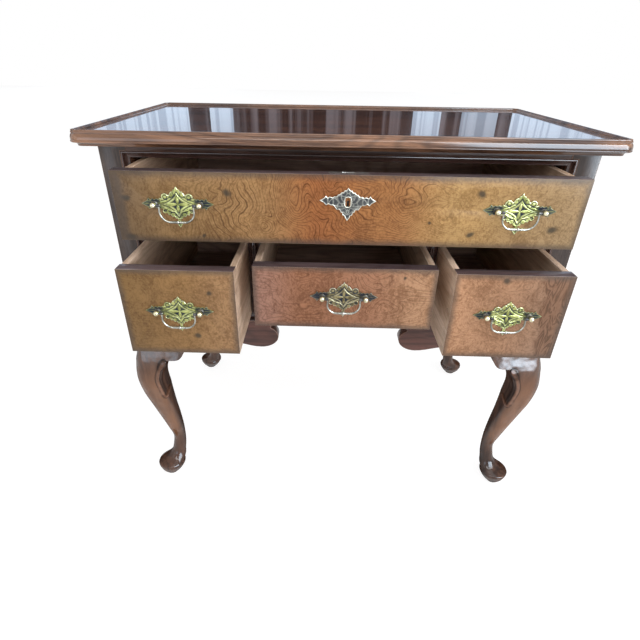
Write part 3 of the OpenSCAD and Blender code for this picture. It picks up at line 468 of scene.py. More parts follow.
def burr_veneer(name, low, high, tones, flow, swirls, knots, swirl, mottle, flow_right=None, swirled=None,
                band=None, dark_end=0.0):
    """Polished burr on a drawer front that spans low to high. tones are its colours from left to right. flow
    is the contour lines per metre across and up, and flow_right the same on the right. swirls are their
    closed rings, each (x, z, half width, half height, rings); knots are (x, z, radius). swirled is where the
    lines are strong, band the x where a dark wild-grained stretch begins; the left end is darker over the width
    given last."""
    made, tree = blank_material(name)
    parts = parted(tree, on_piece(tree))
    place = add(tree, "ShaderNodeCombineXYZ", {0: parts["X"], 1: parts["Z"]}).outputs[0]
    # Every line wanders by up to half of sway to either side of its place
    sway_x, sway_z = 0.02, 0.016
    wander = add(tree, "ShaderNodeTexNoise", {"Vector": place, "Scale": 26.0, "Detail": 2.0}).outputs["Color"]
    bent = vectors(tree, "MULTIPLY_ADD", wander, (sway_x, sway_z, 0.0), place)

    def out_from(x, z, wide, tall):
        return oval(tree, bent, x + sway_x / 2, z + sway_z / 2, wide, tall)

    centre = vectors(tree, "SUBTRACT", bent, (sway_x / 2, (low.z + high.z) / 2 + sway_z / 2, 0))
    field = vectors(tree, "DOT_PRODUCT", centre, (*flow, 0), out="Value")
    if flow_right:
        turned = vectors(tree, "DOT_PRODUCT", centre, (*flow_right, 0), out="Value")
        change = times(tree, less(tree, turned, field), ramped(tree, parts["X"], -0.04, 0.06))
        field = maths(tree, "ADD", field, change)
    field = scaled(tree, noise(tree, place, (9, 13, 1), 2, 0.5, 0.6), 16.0, field)
    for x, z, wide, tall, rings in swirls:
        field = maths(tree, "ADD", field, ramped(tree, out_from(x, z, wide, tall), 0, 1, rings, 0))
    if swirled:
        at, half = swirled
        away = maths(tree, "ABSOLUTE", less(tree, parts["X"], at))
        swirl = ramped(tree, away, half * 0.8, half + 0.07, swirl, 0.28 * swirl)
    tone = swept(tree, parts["X"], tones)
    figure = use(tree, burr_figure, Position=place, Field=field, Tone=tone, Swirl=swirl, Mottle=mottle,
                 Deep=deepened(tree, tone, (0.58, 0.53, 0.48)), Line=deepened(tree, tone, (0.22, 0.16, 0.15)))
    colour = figure["Colour"]
    for x, z, radius in knots:
        spot = ramped(tree, out_from(x, z, radius * 2.0, radius * 1.7), 0.25, 1.0, 0.85, 0.0)
        colour = tinted(tree, spot, colour, (0.045, 0.038, 0.028))
    if band:
        wavy = scaled(tree, noise(tree, place, (25, 25, 1), 3), 0.035, parts["X"])
        share = ramped(tree, scaled(tree, parts["Z"], 0.08, wavy), band, band + 0.006, 0.0, 0.8)
        stripe = times(tree, noise(tree, place, (70, 16, 1), 3, 0.5, 0.9), 8.0)
        wild = tinted(tree, ramped(tree, folded(tree, stripe), 0.0, 0.4),
                      deepened(tree, tone, (0.30, 0.25, 0.22)), deepened(tree, tone, (0.72, 0.64, 0.60)))
        colour = tinted(tree, share, colour, wild)
    shade = use(tree, border_shade, Position=place, Low=(low.x + dark_end, low.z, -1), High=(high.x, high.z, 1),
                Width=0.008)
    shaded = tinted(tree, times(tree, shade["Mask"], 0.72), colour, (0.075, 0.058, 0.048))
    rubbed = use(tree, worn_arris, Position=place, Colour=shaded, Worn=(0.50, 0.36, 0.27), Wear=0.75)["Colour"]
    skin(tree, figure["Relief"], 0.0001, 0.35, {
        "Base Color": rubbed, "Roughness": scaled(tree, figure["Shine"], 0.18, 0.36),
        "Specular IOR Level": 0.12, "Coat Weight": 0.13, "Coat Roughness": 0.16})
    return made


# Stained dark edges: the grey-purple tone and the pale arrises paint the sheen and bright line that the polish
# shows along them
sheened_edge_walnut = timber("drawer_edge_walnut", "X", (0.150, 0.105, 0.108), (0.062, 0.042, 0.046),
                     worn=(0.60, 0.50, 0.47), wear=1.0, rough=0.3, polish=0.5)
side_oak = timber("drawer_side_oak", "Y", (0.66, 0.49, 0.37), (0.42, 0.29, 0.20), (0.24, 0.15, 0.09),
                  (0.70, 0.56, 0.45), rings=0.25, rough=0.55, polish=0.0)
base_oak = timber("drawer_base_oak", "X", (0.62, 0.47, 0.40), (0.40, 0.28, 0.23), (0.18, 0.11, 0.08),
                  (0.66, 0.52, 0.44), rough=0.6, polish=0.0, shift=0.9)
FRONTS = {
    "top": dict(
        tones=((-0.325, (0.18, 0.112, 0.056)), (-0.24, (0.32, 0.190, 0.080)), (-0.13, (0.38, 0.215, 0.090)),
               (-0.04, (0.33, 0.125, 0.042)), (0.06, (0.375, 0.170, 0.062)), (0.16, (0.47, 0.29, 0.118)),
               (0.33, (0.36, 0.245, 0.130))),
        flow=(140, 25), flow_right=(45, 170), swirled=(-0.045, 0.15), swirl=0.84, mottle=0.6, dark_end=0.0095,
        swirls=((-0.0765, 0.663, 0.030, 0.062, 9.5), (-0.122, 0.616, 0.028, 0.026, 7.5),
                (-0.042, 0.69, 0.036, 0.075, 7.0), (0.085, 0.66, 0.05, 0.05, 6.5),
                (0.01, 0.60, 0.05, 0.03, -5.0), (0.155, 0.627, 0.04, 0.03, 4.0)),
        knots=((-0.170, 0.666, 0.0048), (-0.317, 0.6575, 0.0036), (-0.319, 0.600, 0.005),
               (-0.211, 0.603, 0.0022), (0.185, 0.6705, 0.0042), (0.297, 0.622, 0.0045),
               (0.1816, 0.615, 0.0036), (0.1205, 0.626, 0.002))),
    "left": dict(
        tones=((-0.33, (0.225, 0.128, 0.049)), (-0.25, (0.285, 0.160, 0.063)), (-0.17, (0.35, 0.202, 0.098))),
        flow=(40, 120), swirl=0.26, mottle=0.7,
        swirls=((-0.225, 0.455, 0.03, 0.03, 5.0), (-0.30, 0.52, 0.03, 0.04, -4.0)),
        knots=((-0.226, 0.4535, 0.0042), (-0.1995, 0.531, 0.0034))),
    "centre": dict(
        tones=((-0.138, (0.36, 0.195, 0.145)), (-0.06, (0.31, 0.140, 0.075)), (0.03, (0.34, 0.165, 0.094)),
               (0.125, (0.43, 0.245, 0.14))),
        flow=(30, 150), swirl=0.5, mottle=0.8,
        swirls=((-0.06, 0.53, 0.06, 0.03, 5.0), (0.06, 0.49, 0.07, 0.03, 6.0), (0.0, 0.545, 0.05, 0.03, -5.0)),
        knots=((0.094, 0.547, 0.002),)),
    "right": dict(
        tones=((0.165, (0.50, 0.275, 0.155)), (0.23, (0.40, 0.222, 0.128)), (0.32, (0.285, 0.172, 0.112))),
        flow=(50, 120), swirl=0.3, mottle=0.7, band=0.353,
        swirls=((0.21, 0.50, 0.04, 0.05, 5.0), (0.27, 0.45, 0.03, 0.03, -4.0)),
        knots=((0.236, 0.554, 0.004),)),
}
# The veneer ends this far behind a front's face, and the stain on its edges this far
veneer_ends, stain_ends = 2 * mm, 4.5 * mm
for drawer, figure in FRONTS.items():
    body, front = drawer + "_drawer", drawer + "_front"
    low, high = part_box(front)
    shape = eased(front, 0.9 * mm)
    for face in shape.faces:
        y = face.calc_center_median().y
        core = 2 if y > low.y + stain_ends and abs(face.normal.z) < 0.5 else 1
        face.material_index = 0 if face.normal.y < -0.9 and y < low.y + veneer_ends else core
    veneer = burr_veneer(drawer + "_burr", low, high, **figure)
    finished(front + "_board", to_mesh(front, shape), [veneer, sheened_edge_walnut, side_oak], body, "burl_walnut",
             front)
    for part, material in (("sides", side_oak), ("back", base_oak), ("bottom", base_oak)):
        dressed(drawer + "_" + part, "oak", 0.8, material, body, "oak")

# ---------------------------------------------------------------- legs
# Each leg is one stick of walnut, from the pad foot to the top of its post, sawn to the cabriole curve
# and rounded with spokeshave and rasp. The front knees carry a carved C-scroll beside the inner arris.
leg_height, post_width = 364.0, 43.0
knee_out, knee_in, ankle, foot, sole = 17.5, 50.0, 25.5, 58.0, 25.0
ankle_in, knee = -20.0, 67.5


def mix(a, b, t):
    return a * (1 - t) + b * t


def ease(a, b, z):
    s = np.clip((z - a) / (b - a), 0, 1)
    return s * s * (3 - 2 * s)


# Stations up a leg: share of its height, reach beyond the corner, width
stations = np.array([
    (0, 1.7, sole), (0.0055, 3.2, mix(sole, foot, 0.085)), (0.0346, 10.5, mix(sole, foot, 0.6)),
    (0.066, 15.2, mix(sole, foot, 0.955)), (0.077, 16, foot), (0.088, 14.8, mix(ankle, foot, 0.93)),
    (0.11, -1.4, mix(ankle, foot, 0.486)), (0.14, -12.3, ankle + 4.9), (0.1865, -17.2, ankle + 1.9),
    (0.2529, ankle_in, ankle), (0.3357, -13.5, ankle + 7), (0.4318, -5.5, ankle + 13),
    (0.5411, mix(ankle_in, knee_out, 0.627), mix(ankle, knee, 0.43)),
    (0.6648, mix(ankle_in, knee_out, 0.89), mix(ankle, knee, 0.58)), (0.7752, knee_out, knee - 15.5),
    (0.8713, knee_out - 2.2, knee - 5.2), (0.905, 0.67 * knee_out, knee_in - 1.0 + 0.67 * knee_out),
    (0.9448, 0.35 * knee_out, knee_in + 0.35 * knee_out), (1, 0, knee_in)])


def along(share, column):
    """A smooth curve through one column of the stations."""
    at, value = stations[:, 0], stations[:, column]
    low, high = np.maximum(np.arange(len(at)) - 1, 0), np.minimum(np.arange(len(at)) + 1, len(at) - 1)
    slope = (value[high] - value[low]) / (at[high] - at[low])
    i = np.clip(np.searchsorted(at, share, side="right") - 1, 0, len(at) - 2)
    h = at[i + 1] - at[i]
    t = (share - at[i]) / h
    u = 1 - t
    return ((1 + 2 * t) * u * u * value[i] + t * u * u * h * slope[i]
            + (3 - 2 * t) * t * t * value[i + 1] - t * t * u * h * slope[i + 1])


def reach_at(share):
    """Reach beyond the corner; a smooth curve through the stations may not pass the knee's own reach."""
    return np.minimum(along(share, 1), knee_out + 0.09)


def leg_section(share, fine):
    """A square with round corners, outer corner first: round at the ankle, square at the post. The two
    corners beside the knee blocks are sharp where the blocks carry on the faces."""
    out, width = reach_at(share), along(share, 2)
    inward, half = width - out, width / 2
    # How far the section has turned from round to square, the shoulder to the post, the cheek to the block
    square, shoulder, cheek = ease(0.285, 0.806, share), ease(0.857, 1, share), ease(0.84, 0.895, share)

    def corner(cx, cy, round_share, start, sharp, last):
        r = mix(mix(half * 0.97, half * round_share, square), last, sharp)
        a = np.radians(np.linspace(start, start + 90, fine + 1))
        return np.stack([cx * (inward if cx < 0 else out) - cx * r + r * np.cos(a),
                         cy * (inward if cy < 0 else out) - cy * r + r * np.sin(a)], 1)

    corners = [corner(1, 1, 0.8, 0, shoulder, 2.5), corner(-1, 1, 0.32, 90, cheek, 0.8),
               corner(-1, -1, 0.14, 180, shoulder, 2.5), corner(1, -1, 0.32, 270, cheek, 0.8)]
    ring = []
    for here, after, steps in zip(corners, corners[1:] + corners[:1], (fine * 3, fine * 3, fine, fine)):
        t = np.linspace(0, 1, steps + 2)[1:-1, None]
        ring += [here, mix(here[-1], after[0], t)]
    return np.concatenate(ring), out, inward


# The scroll on the two faces unfolded: distance from the arris, share of the leg's height
scroll = np.array([
    (4, 0.885), (6.5, 0.862), (6.5, 0.84), (6, 0.81), (5.2, 0.78), (4.5, 0.75), (3.5, 0.715), (2.5, 0.68),
    (1.5, 0.655), (0, 0.638), (-6, 0.64), (-16, 0.648), (-30, 0.66)]) * (1, leg_height)
scroll_rise, scroll_half, groove_deep, groove_half = 3.0, 4.8, 0.8, 0.9
# Each volute: distance from the arris, share of the height, radius, rise, and how far its eye lies off
# the middle
volutes = ((1, 0.866, 12, 1.5, 5, -1), (1, 0.646, 5, 1.15, 0, 0))
eye_deep, eye_half = 1.7, 1.9


def to_line(points, line):
    """How far each point lies from a broken line."""
    start, step = line[:-1], np.diff(line, axis=0)
    t = np.clip(((points[:, None] - start) * step).sum(2) / (step ** 2).sum(1), 0, 1)
    return np.linalg.norm(points[:, None] - start - step * t[..., None], axis=2).min(1)


def carved(points, share, out, inward):
    """Moves the points of one ring by the carving; also gives how rubbed each one is, and how dark with settled
    polish and painted shade.
    """
    side = (points[:, 0] + inward) - (out - points[:, 1])
    flat = np.stack([side, np.full(len(points), share * leg_height)], 1)
    away = to_line(flat, scroll)
    ridge = np.clip(1 - (away / scroll_half) ** 2, 0, 1) ** 0.8
    groove = np.exp(-((away - scroll_half - 0.7) / groove_half) ** 2)
    edge = np.interp(share, scroll[8:0:-1, 1] / leg_height, scroll[8:0:-1, 0])
    window = ease(0.645, 0.67, share) * (1 - ease(0.85, 0.87, share))
    field = window * ease(0, 3, edge - 2 - side) * ease(-16, -11, side)
    groove = groove * ease(-7, -1, side)
    lift = scroll_rise * ridge - groove_deep * groove - field
    # Painted shade in the carving: the grooves, the sunk field, each eye, the ring round each volute and the
    # raised boss are darkened; the grooves also hold settled polish
    hollow = 0.95 * groove + 0.62 * field + 0.2 * ridge
    for at, height, size, rise, eye_off, eye_up in volutes:
        reach = np.linalg.norm(flat - (at, height * leg_height), axis=1) / size
        knob = np.clip(1 - reach ** 2, 0, 1) ** 0.6
        eye = np.linalg.norm(flat - (at + eye_off, height * leg_height + eye_up), axis=1)
        sunk = np.exp(-(eye / eye_half) ** 2)
        lift = np.maximum(lift, rise * scroll_rise * knob) - eye_deep * sunk
        hollow += 1.1 * sunk + 0.8 * np.exp(-((reach - 1.02) / 0.18) ** 2) + 0.45 * (reach < 1)
    centre = (out - inward) / 2
    facing = points - centre
    reached = points[:, 1] - points[:, 0] >= -0.01
    lift, hollow, rubbed = (np.where(reached, value, 0) for value in (lift, hollow, ridge ** 2))
    points = points + facing / np.linalg.norm(facing, axis=1)[:, None] * lift[:, None]
    return points, rubbed, np.clip(hollow, 0, 1)


def skinned(name, rings, arris=None, hollow=None, loop=False):
    """A skin over rings of points, with its attributes averaged on to each face. loop joins the last ring to
    the first; without it both ends are capped."""
    n, m = len(rings), len(rings[0])
    faces = [(a * m + i, a * m + (i + 1) % m, (a + 1) % n * m + (i + 1) % m, (a + 1) % n * m + i)
             for a in range(n if loop else n - 1) for i in range(m)]
    if not loop:
        faces += [tuple(range(m))[::-1], tuple((n - 1) * m + i for i in range(m))]
    mesh = bpy.data.meshes.new(name)
    mesh.from_pydata(np.concatenate(rings).tolist(), [], faces)
    for label, values in (("arris", arris), ("hollow", hollow)):
        if values is not None:
            flat = np.concatenate(values)
            layer = mesh.attributes.new(label, "FLOAT", "FACE")
            layer.data.foreach_set("value", [float(flat[list(face)].mean()) for face in faces])
    return mesh


# Grime and painted shade: an attribute on each piece marks where polish and dust have settled in its hollows,
# and where shade is painted into recesses, creases and the raised boss of the carving
grime_and_painted_shade, given, out = effect("grime_and_painted_shade",
    dict(Position=None, Colour=WHITE, Grime=WHITE, Amount=0.8), ("Colour", "Mask"))
tree = grime_and_painted_shade
hollow = add(tree, "ShaderNodeAttribute", attribute_name="hollow").outputs["Fac"]
uneven = ramped(tree, noise(tree, given["Position"], (90, 90, 90), 3), 0.25, 0.6, 0.85, 1.0)
mask = times(tree, hollow, uneven, given["Amount"])
into(tree, out, Colour=tinted(tree, mask, given["Colour"], given["Grime"]), Mask=mask)


def leg_walnut():
    """Deep red-brown polish, thickest over the knees and worn to orange brown down the front of each shank."""
    made, tree = blank_material("leg_walnut")
    place = grained_place(tree, "Z", 0.2)
    wood = use(tree, timber_grain, Position=place, Pale=(0.110, 0.052, 0.032), Deep=(0.034, 0.016, 0.011),
               Vein=walnut_vein, Streak=0.9, Rings=0.3, Pores=0.35)
    forward = times(tree, parted(tree, add(tree, "ShaderNodeNewGeometry").outputs["Normal"])["Y"], -1.0)
    height = parted(tree, on_piece(tree))["Z"]
    shank = times(tree, ramped(tree, height, 0.06, 0.14), ramped(tree, height, 0.25, 0.335, 1.0, 0.15))
    patch = ramped(tree, noise(tree, place, (9, 30, 30), 3), 0.3, 0.62, 0.45, 1.0)
    worn = times(tree, ramped(tree, forward, 0.2, 0.95), shank, patch, 0.75)
    lighter = tinted(tree, worn, wood["Colour"], (0.27, 0.125, 0.062))
    # Near-black settled polish, and painted shade, in the carving
    grime_and_shade = use(tree, grime_and_painted_shade, Position=place, Colour=lighter, Grime=(0.016, 0.009, 0.007), Amount=0.92)
    rubbed = use(tree, worn_arris, Position=place, Colour=grime_and_shade["Colour"], Worn=(0.34, 0.17, 0.11),
                 Wear=0.6)["Colour"]
    turned = add(tree, "ShaderNodeLayerWeight", {"Blend": 0.5}).outputs["Facing"]
    glossy = times(tree, scaled(tree, ramped(tree, forward, 0.0, 0.6), 0.85, 0.1),
                   ramped(tree, turned, 0.55, 0.92, 1.0, 0.1), scaled(tree, grime_and_shade["Mask"], -0.8, 1.0))
    brushed = noise(tree, place, (26, 26, 26))
    wavy = add(tree, "ShaderNodeBump", {"Height": brushed, "Distance": 0.006, "Strength": 0.6}).outputs[0]
    # From one height to the other the polish over the knees sets in
    over_knee = 0.30, 0.335
    skin(tree, wood["Relief"], 0.0001, 0.4, {
        "Base Color": rubbed, "Roughness": scaled(tree, wood["Shine"], -0.12, 0.26), "Specular IOR Level": 0.0,
        "Coat Weight": glossy, "Coat IOR": ramped(tree, height, *over_knee, 1.46, 1.72),
        "Coat Roughness": ramped(tree, height, *over_knee, 0.1, 0.2), "Coat Normal": wavy})
    return made


leg_polish = leg_walnut()
case_low = Vector((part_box("leg_front_left")[0].x + knee_out * mm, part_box("top_rail")[0].y))
case_high = Vector((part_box("leg_front_right")[1].x - knee_out * mm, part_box("back_panel")[1].y))
leg_top = leg_height * mm


def leg_rings(front):
    shares = np.unique(np.concatenate([
        np.linspace(0, 0.13, 60), np.linspace(0.13, 0.27, 20), np.linspace(0.27, 0.6, 34),
        np.linspace(0.6, 0.92, 190 if front else 50), np.linspace(0.92, 1, 16)]))
    rings, rubbed, hollows = [], [], []
    for share in shares:
        points, out, inward = leg_section(share, 9 if front else 6)
        worn, deep = np.zeros(len(points)), np.zeros(len(points))
        if front:
            points, worn, deep = carved(points, share, out, inward)
        rings.append(np.column_stack([points, np.full(len(points), share * leg_height)]) * mm)
        rubbed.append(worn)
        hollows.append(deep)
    return rings, rubbed, hollows


def at_corner(points, right, front):
    """From a leg's own corner, with X outward and Y forward, to its place under the case."""
    x = case_high.x + points[:, 0] if right else case_low.x - points[:, 0]
    y = case_low.y - points[:, 1] if front else case_high.y + points[:, 1]
    return np.column_stack([x, y, points[:, 2]])


for front in (True, False):
    rings, rubbed, hollows = leg_rings(front)
    for right in (True, False):
        node = "leg_{}_{}".format("front" if front else "back", "right" if right else "left")
        placed = [at_corner(ring, right, front) for ring in rings]
        if right != front:
            placed = [ring[::-1] for ring in placed]
            marks = [value[::-1] for value in rubbed], [value[::-1] for value in hollows]
        else:
            marks = rubbed, hollows
        shape = bmesh.new()
        shape.from_mesh(skinned(node, placed, *marks))
        shape.from_mesh(to_mesh(node + "_post", eased(node, 0.8 * mm, above=leg_top + 0.05 * mm)))
        shape.normal_update()
        for face in shape.faces:
            stile = 1 if face.normal.y < -0.5 else 2
            face.material_index = 0 if face.calc_center_median().z < leg_top else stile
        finished(node + "_stick", to_mesh(node, shape), [leg_polish, stile_walnut, side_walnut], "case",
                 "walnut", node, angle=50)

# ---------------------------------------------------------------- knee blocks
# Shaped walnut blocks, glued beside each knee under the apron and the side panels. Their fronts carry
# on the swell of the knee to a round ear, then run out to nothing.
block_length, block_drop, block_round, block_depth = 60.0, 38.5, 36.5, 20.0


def climb(x):
    return 1 / (1 + np.exp((block_round - x) / 4))


def block_rings():
    """Each block runs a little way into the leg's face, so that no gap shows at the glue line."""
    rings, rungs = [], 20
    for t in np.concatenate([
            np.linspace(0, 0.4, 9)[:-1], np.linspace(0.4, 0.8, 27), np.linspace(0.8, 1, 7)[1:]]):
        rise = (climb(block_length * t) - climb(0)) / (climb(block_length) - climb(0))
        share = np.linspace(leg_height - block_drop * (1 - rise) - 0.6, leg_height, rungs) / leg_height
        face = mix(reach_at(share) - along(share, 2), -knee_in - block_length, t) + 0.9 * (1 - t) ** 3
        swell = reach_at(share) * (1 - 0.8 * ease(0.35, 1, t)) - 0.03
        back = np.column_stack([face, np.full(rungs, -block_depth), share * leg_height])
        rings.append(np.concatenate([back, np.column_stack([face, swell, share * leg_height])[::-1]]) * mm)
    return rings


shape = bmesh.new()
for right in (False, True):
    for front, turned_block in ((True, False), (True, True), (False, True)):
        rings = block_rings()
        if turned_block:
            rings = [ring[:, (1, 0, 2)] for ring in rings]
        rings = [at_corner(ring, right, front) for ring in rings]
        shape.from_mesh(skinned("block", rings))
finished("knee_blocks_shaped", to_mesh("knee_blocks", shape, outward=True), [leg_polish], "case", "walnut",
         "knee_blocks", angle=50)

# ---------------------------------------------------------------- top
# The top is one wide walnut board with a moulded edge: a cove below, a bead, and an ovolo up to the tray
# rim. The rim is planted on in four mitred lengths whose corners are notched.
over, board, corner_radius = 31.4, 18.0, 20.0
rim_height, rim_width, notch, rim_set = 5.0, 11.0, 8.0, 4.4
top_low, top_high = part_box("top_board")


def top_polish(name, pale, deep, worn, coat_rough, shift):
    made, tree = blank_material(name)
    place = grained_place(tree, "X", shift)
    wood = use(tree, timber_grain, Position=place, Pale=pale, Deep=deep, Vein=walnut_vein, Streak=0.8,
               Rings=0.4, Pores=0.25)
    rubbed = use(tree, worn_arris, Position=place, Colour=wood["Colour"], Worn=worn, Wear=0.7)["Colour"]
    skin(tree, noise(tree, place, (3, 14, 14)), 0.0006, 0.25, {
        "Base Color": rubbed, "Roughness": 0.3, "Specular IOR Level": 0.1, "Coat Weight": 1.0, "Coat IOR": 1.46,
        "Coat Roughness": coat_rough}, bumped=("Normal", "Coat Normal"))
    return made


tray_polish = top_polish("tray_polish", (0.15, 0.065, 0.04), (0.05, 0.021, 0.015), (0.3, 0.16, 0.1),
                         0.02, 0.5)
# The moulded edge and the rim: the tray's walnut made paler, a painted highlight for the golden sheen along the
# mouldings
lit_mould_polish = top_polish("lit_mould_polish", (0.29, 0.145, 0.080), (0.050, 0.023, 0.016), (0.55, 0.36, 0.24),
                          0.1, 0.1)


def bow(cx, cy, rx, ry, start, stop, steps):
    a = np.radians(np.linspace(start, stop, steps))
    return np.column_stack([cx + rx * np.cos(a), cy + ry * np.sin(a)])


edge_in = over - 14
edge = np.concatenate([
    [(edge_in, 0)], bow(over - 3.4, -0.6, 6, 6, 174, 90, 12), bow(over - 1.4, 6.8, 1.4, 1.4, -90, 60, 10),
    bow(over - 5, 9, 4.6, board - 9, 0, 90, 12), [(edge_in, board)]])
rings = []
for quarter, (right, back) in enumerate(((1, 1), (0, 1), (0, 0), (1, 0))):
    cx = top_high.x / mm - corner_radius if right else top_low.x / mm + corner_radius
    cy = top_high.y / mm - corner_radius if back else top_low.y / mm + corner_radius
    for a in np.radians(np.linspace(90 * quarter, 90 * quarter + 90, 15)):
        out = corner_radius - over + edge[:, 0]
        rings.append(np.column_stack([cx + out * math.cos(a), cy + out * math.sin(a),
                                      top_low.z / mm + edge[:, 1]]) * mm)
count, points = len(rings), len(edge)
mesh = bpy.data.meshes.new("top_board")
faces = [(a * points + i, (a + 1) % count * points + i, (a + 1) % count * points + i + 1, a * points + i + 1)
         for a in range(count) for i in range(points - 1)]
faces += [tuple(a * points + points - 1 for a in range(count)), tuple(a * points for a in range(count))[::-1]]
mesh.from_pydata(np.concatenate(rings).tolist(), [], faces)
mesh.polygons.foreach_set("material_index", [1] * (len(faces) - 2) + [0, 0])
mesh.materials.append(tray_polish)
finished("top_board_moulded", mesh, [lit_mould_polish], "case", "walnut", "top_board")

# The rim's profile: distance in from its outer edge, height
rim = np.concatenate([
    [(0, 0), (0, 1.4), (0.7, 2.2)], bow(2.3, rim_height - 1.84, -1.8, 1.8, 0, 180, 12),
    bow(rim_width, rim_height - 2, 4.6 - rim_width, 2.4 - rim_height, 0, 90, 10), [(rim_width, 0)]])


def rim_rings(half):
    """One length along X with its outer edge on y = 0; both ends turn into a notch, up to the mitre."""
    rings = []
    for side, steps in ((-1, np.linspace(1, 0, 12)), (1, np.linspace(0, 1, 12))):
        for t in steps:
            r = notch + rim[:, 0]
            a = np.radians(mix(180 - np.degrees(np.arcsin(rim[:, 0] / r)), 135.3, t))
            rings.append(np.column_stack([side * (half + r * np.cos(a)), r * np.sin(a), rim[:, 1]]))
    return rings


shape = bmesh.new()
centre = (top_low + top_high) / 2 / mm
half_x, half_y = top_high.x / mm - rim_set, (top_high.y - top_low.y) / 2 / mm - rim_set
for turn, half, off in (
    (0, half_x, half_y), (90, half_y, half_x), (180, half_x, half_y), (270, half_y, half_x),
):
    c, s = round(math.cos(math.radians(turn))), round(math.sin(math.radians(turn)))
    rings = []
    for ring in rim_rings(half):
        x, y = ring[:, 0], ring[:, 1] - off
        rings.append(np.column_stack([centre.x + c * x - s * y, centre.y + s * x + c * y,
                                      top_high.z / mm + ring[:, 2]]) * mm)
    shape.from_mesh(skinned("rim", rings))
finished("tray_rim_planted", to_mesh("tray_rim", shape, outward=True), [lit_mould_polish], "case", "walnut",
         "tray_rim")

# ---------------------------------------------------------------- opening mouldings
# A bead and a hollow, worked along thin strips of walnut. Each opening has four lengths, mitred at its
# corners and glued into the rebate round it, so that they stand a little proud of the rails.
mould_width, bead, proud, cove_deep = 10.0, 1.7, 0.8, 1.6
cove = mould_width - 2 * bead - 0.4
strip = np.concatenate([
    [(0, mould_width), (0, bead - proud)], bow(bead, bead - proud, -bead, -bead, 15, 165, 11),
    [(2 * bead, bead - proud)], bow(2 * bead + cove, cove_deep, -cove, cove, 0, 90, 10),
    [(mould_width, cove_deep + cove), (mould_width, mould_width)]])
face_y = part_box("top_rail")[0].y
post_in = (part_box("side_panel_right")[1].x / mm - post_width) * mm
div_in, div_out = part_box("divider_right")[0].x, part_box("divider_right")[1].x
z_mid, z_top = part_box("middle_rail")[0].z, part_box("middle_rail")[1].z
z_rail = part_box("top_rail")[0].z
z_low, z_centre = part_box("divider_right")[0].z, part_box("front_apron")[1].z
OPENINGS = [(-post_in, post_in, z_top, z_rail), (-post_in, -div_out, z_low, z_mid),
            (div_out, post_in, z_low, z_mid), (-div_in, div_in, z_centre, z_mid)]
shape = bmesh.new()
for left, right, low, high in OPENINGS:
    inset = strip[:, 0] * mm - mould_width * mm
    y = face_y + strip[:, 1] * mm
    rings = [np.column_stack([x, y, z]) for x, z in (
        (left + inset, low + inset), (right - inset, low + inset), (right - inset, high - inset),
        (left + inset, high - inset))]
    shape.from_mesh(skinned("strip", rings, loop=True))
strip_walnut = timber("strip_walnut", "X", (0.075, 0.038, 0.032), (0.028, 0.014, 0.013),
                      worn=(0.45, 0.30, 0.24), rough=0.26, polish=0.8, polish_rough=0.06)
finished("opening_mouldings_strips", to_mesh("opening_mouldings", shape, outward=True), [strip_walnut], "case",
         "walnut", "opening_mouldings")

# ---------------------------------------------------------------- handles
# Each handle is cast brass: a chased plate, two turned posts that clamp it to the drawer with nuts
# inside, and a bail that hangs by its pins in the balls of the posts. The chasing is full of old polish.
plate_thick, post_gap, pivot_out = 1.6, 66.0, 10.0


def mirrored(half):
    """A closed outline from its right half, which runs from the top to the bottom on the middle line."""
    half = np.array(half, float)
    return np.concatenate([half, half[-2:0:-1] * (-1, 1)])


plate_outline = mirrored(np.concatenate([
    [(0, 25), (2.2, 21), (4.6, 20.5), (5, 17.6), (7.4, 18), (9.4, 15.8), (11.4, 12.6)],
    bow(17.2, 9.8, 5.2, 5.2, 150, -30, 13),
    [(24.5, 8.4), (27.4, 6.6), (30.2, 7.6), (32.4, 6.2), (36, 7.6), (38.4, 5.4), (41.4, 8.6), (43.6, 4.6),
     (52, 0.4), (43.6, -4.2), (41.2, -7.6), (38.2, -4.8), (35.4, -6.4), (32, -5), (28.6, -7.2), (24.4, -6.4)],
    bow(19.2, -10, 3.6, 3.6, 60, -90, 11),
    [(16.2, -12.6), (15, -16.4), (11.8, -15.4), (9.6, -18.8), (6.6, -17.8), (4.6, -21.4), (2.2, -21),
     (1.8, -26.6), (4.2, -29.4), (2, -31.6), (0, -34.4)]]))


def spaced(outline, step):
    """The same closed outline with points no further apart than step."""
    points = []
    for a, b in zip(outline, np.roll(outline, -1, axis=0)):
        count = max(1, int(np.ceil(np.linalg.norm(b - a) / step)))
        points += [mix(a, b, k / count) for k in range(count)]
    return np.array(points)


def inside(points, outline):
    a, b = outline, np.roll(outline, -1, axis=0)
    x, y = points[:, :1], points[:, 1:]
    rise = np.where(b[:, 1] == a[:, 1], 1e-9, b[:, 1] - a[:, 1])
    crossing = ((a[:, 1] > y) != (b[:, 1] > y)) & (x < (b[:, 0] - a[:, 0]) * (y - a[:, 1]) / rise + a[:, 0])
    return crossing.sum(1) % 2 == 1


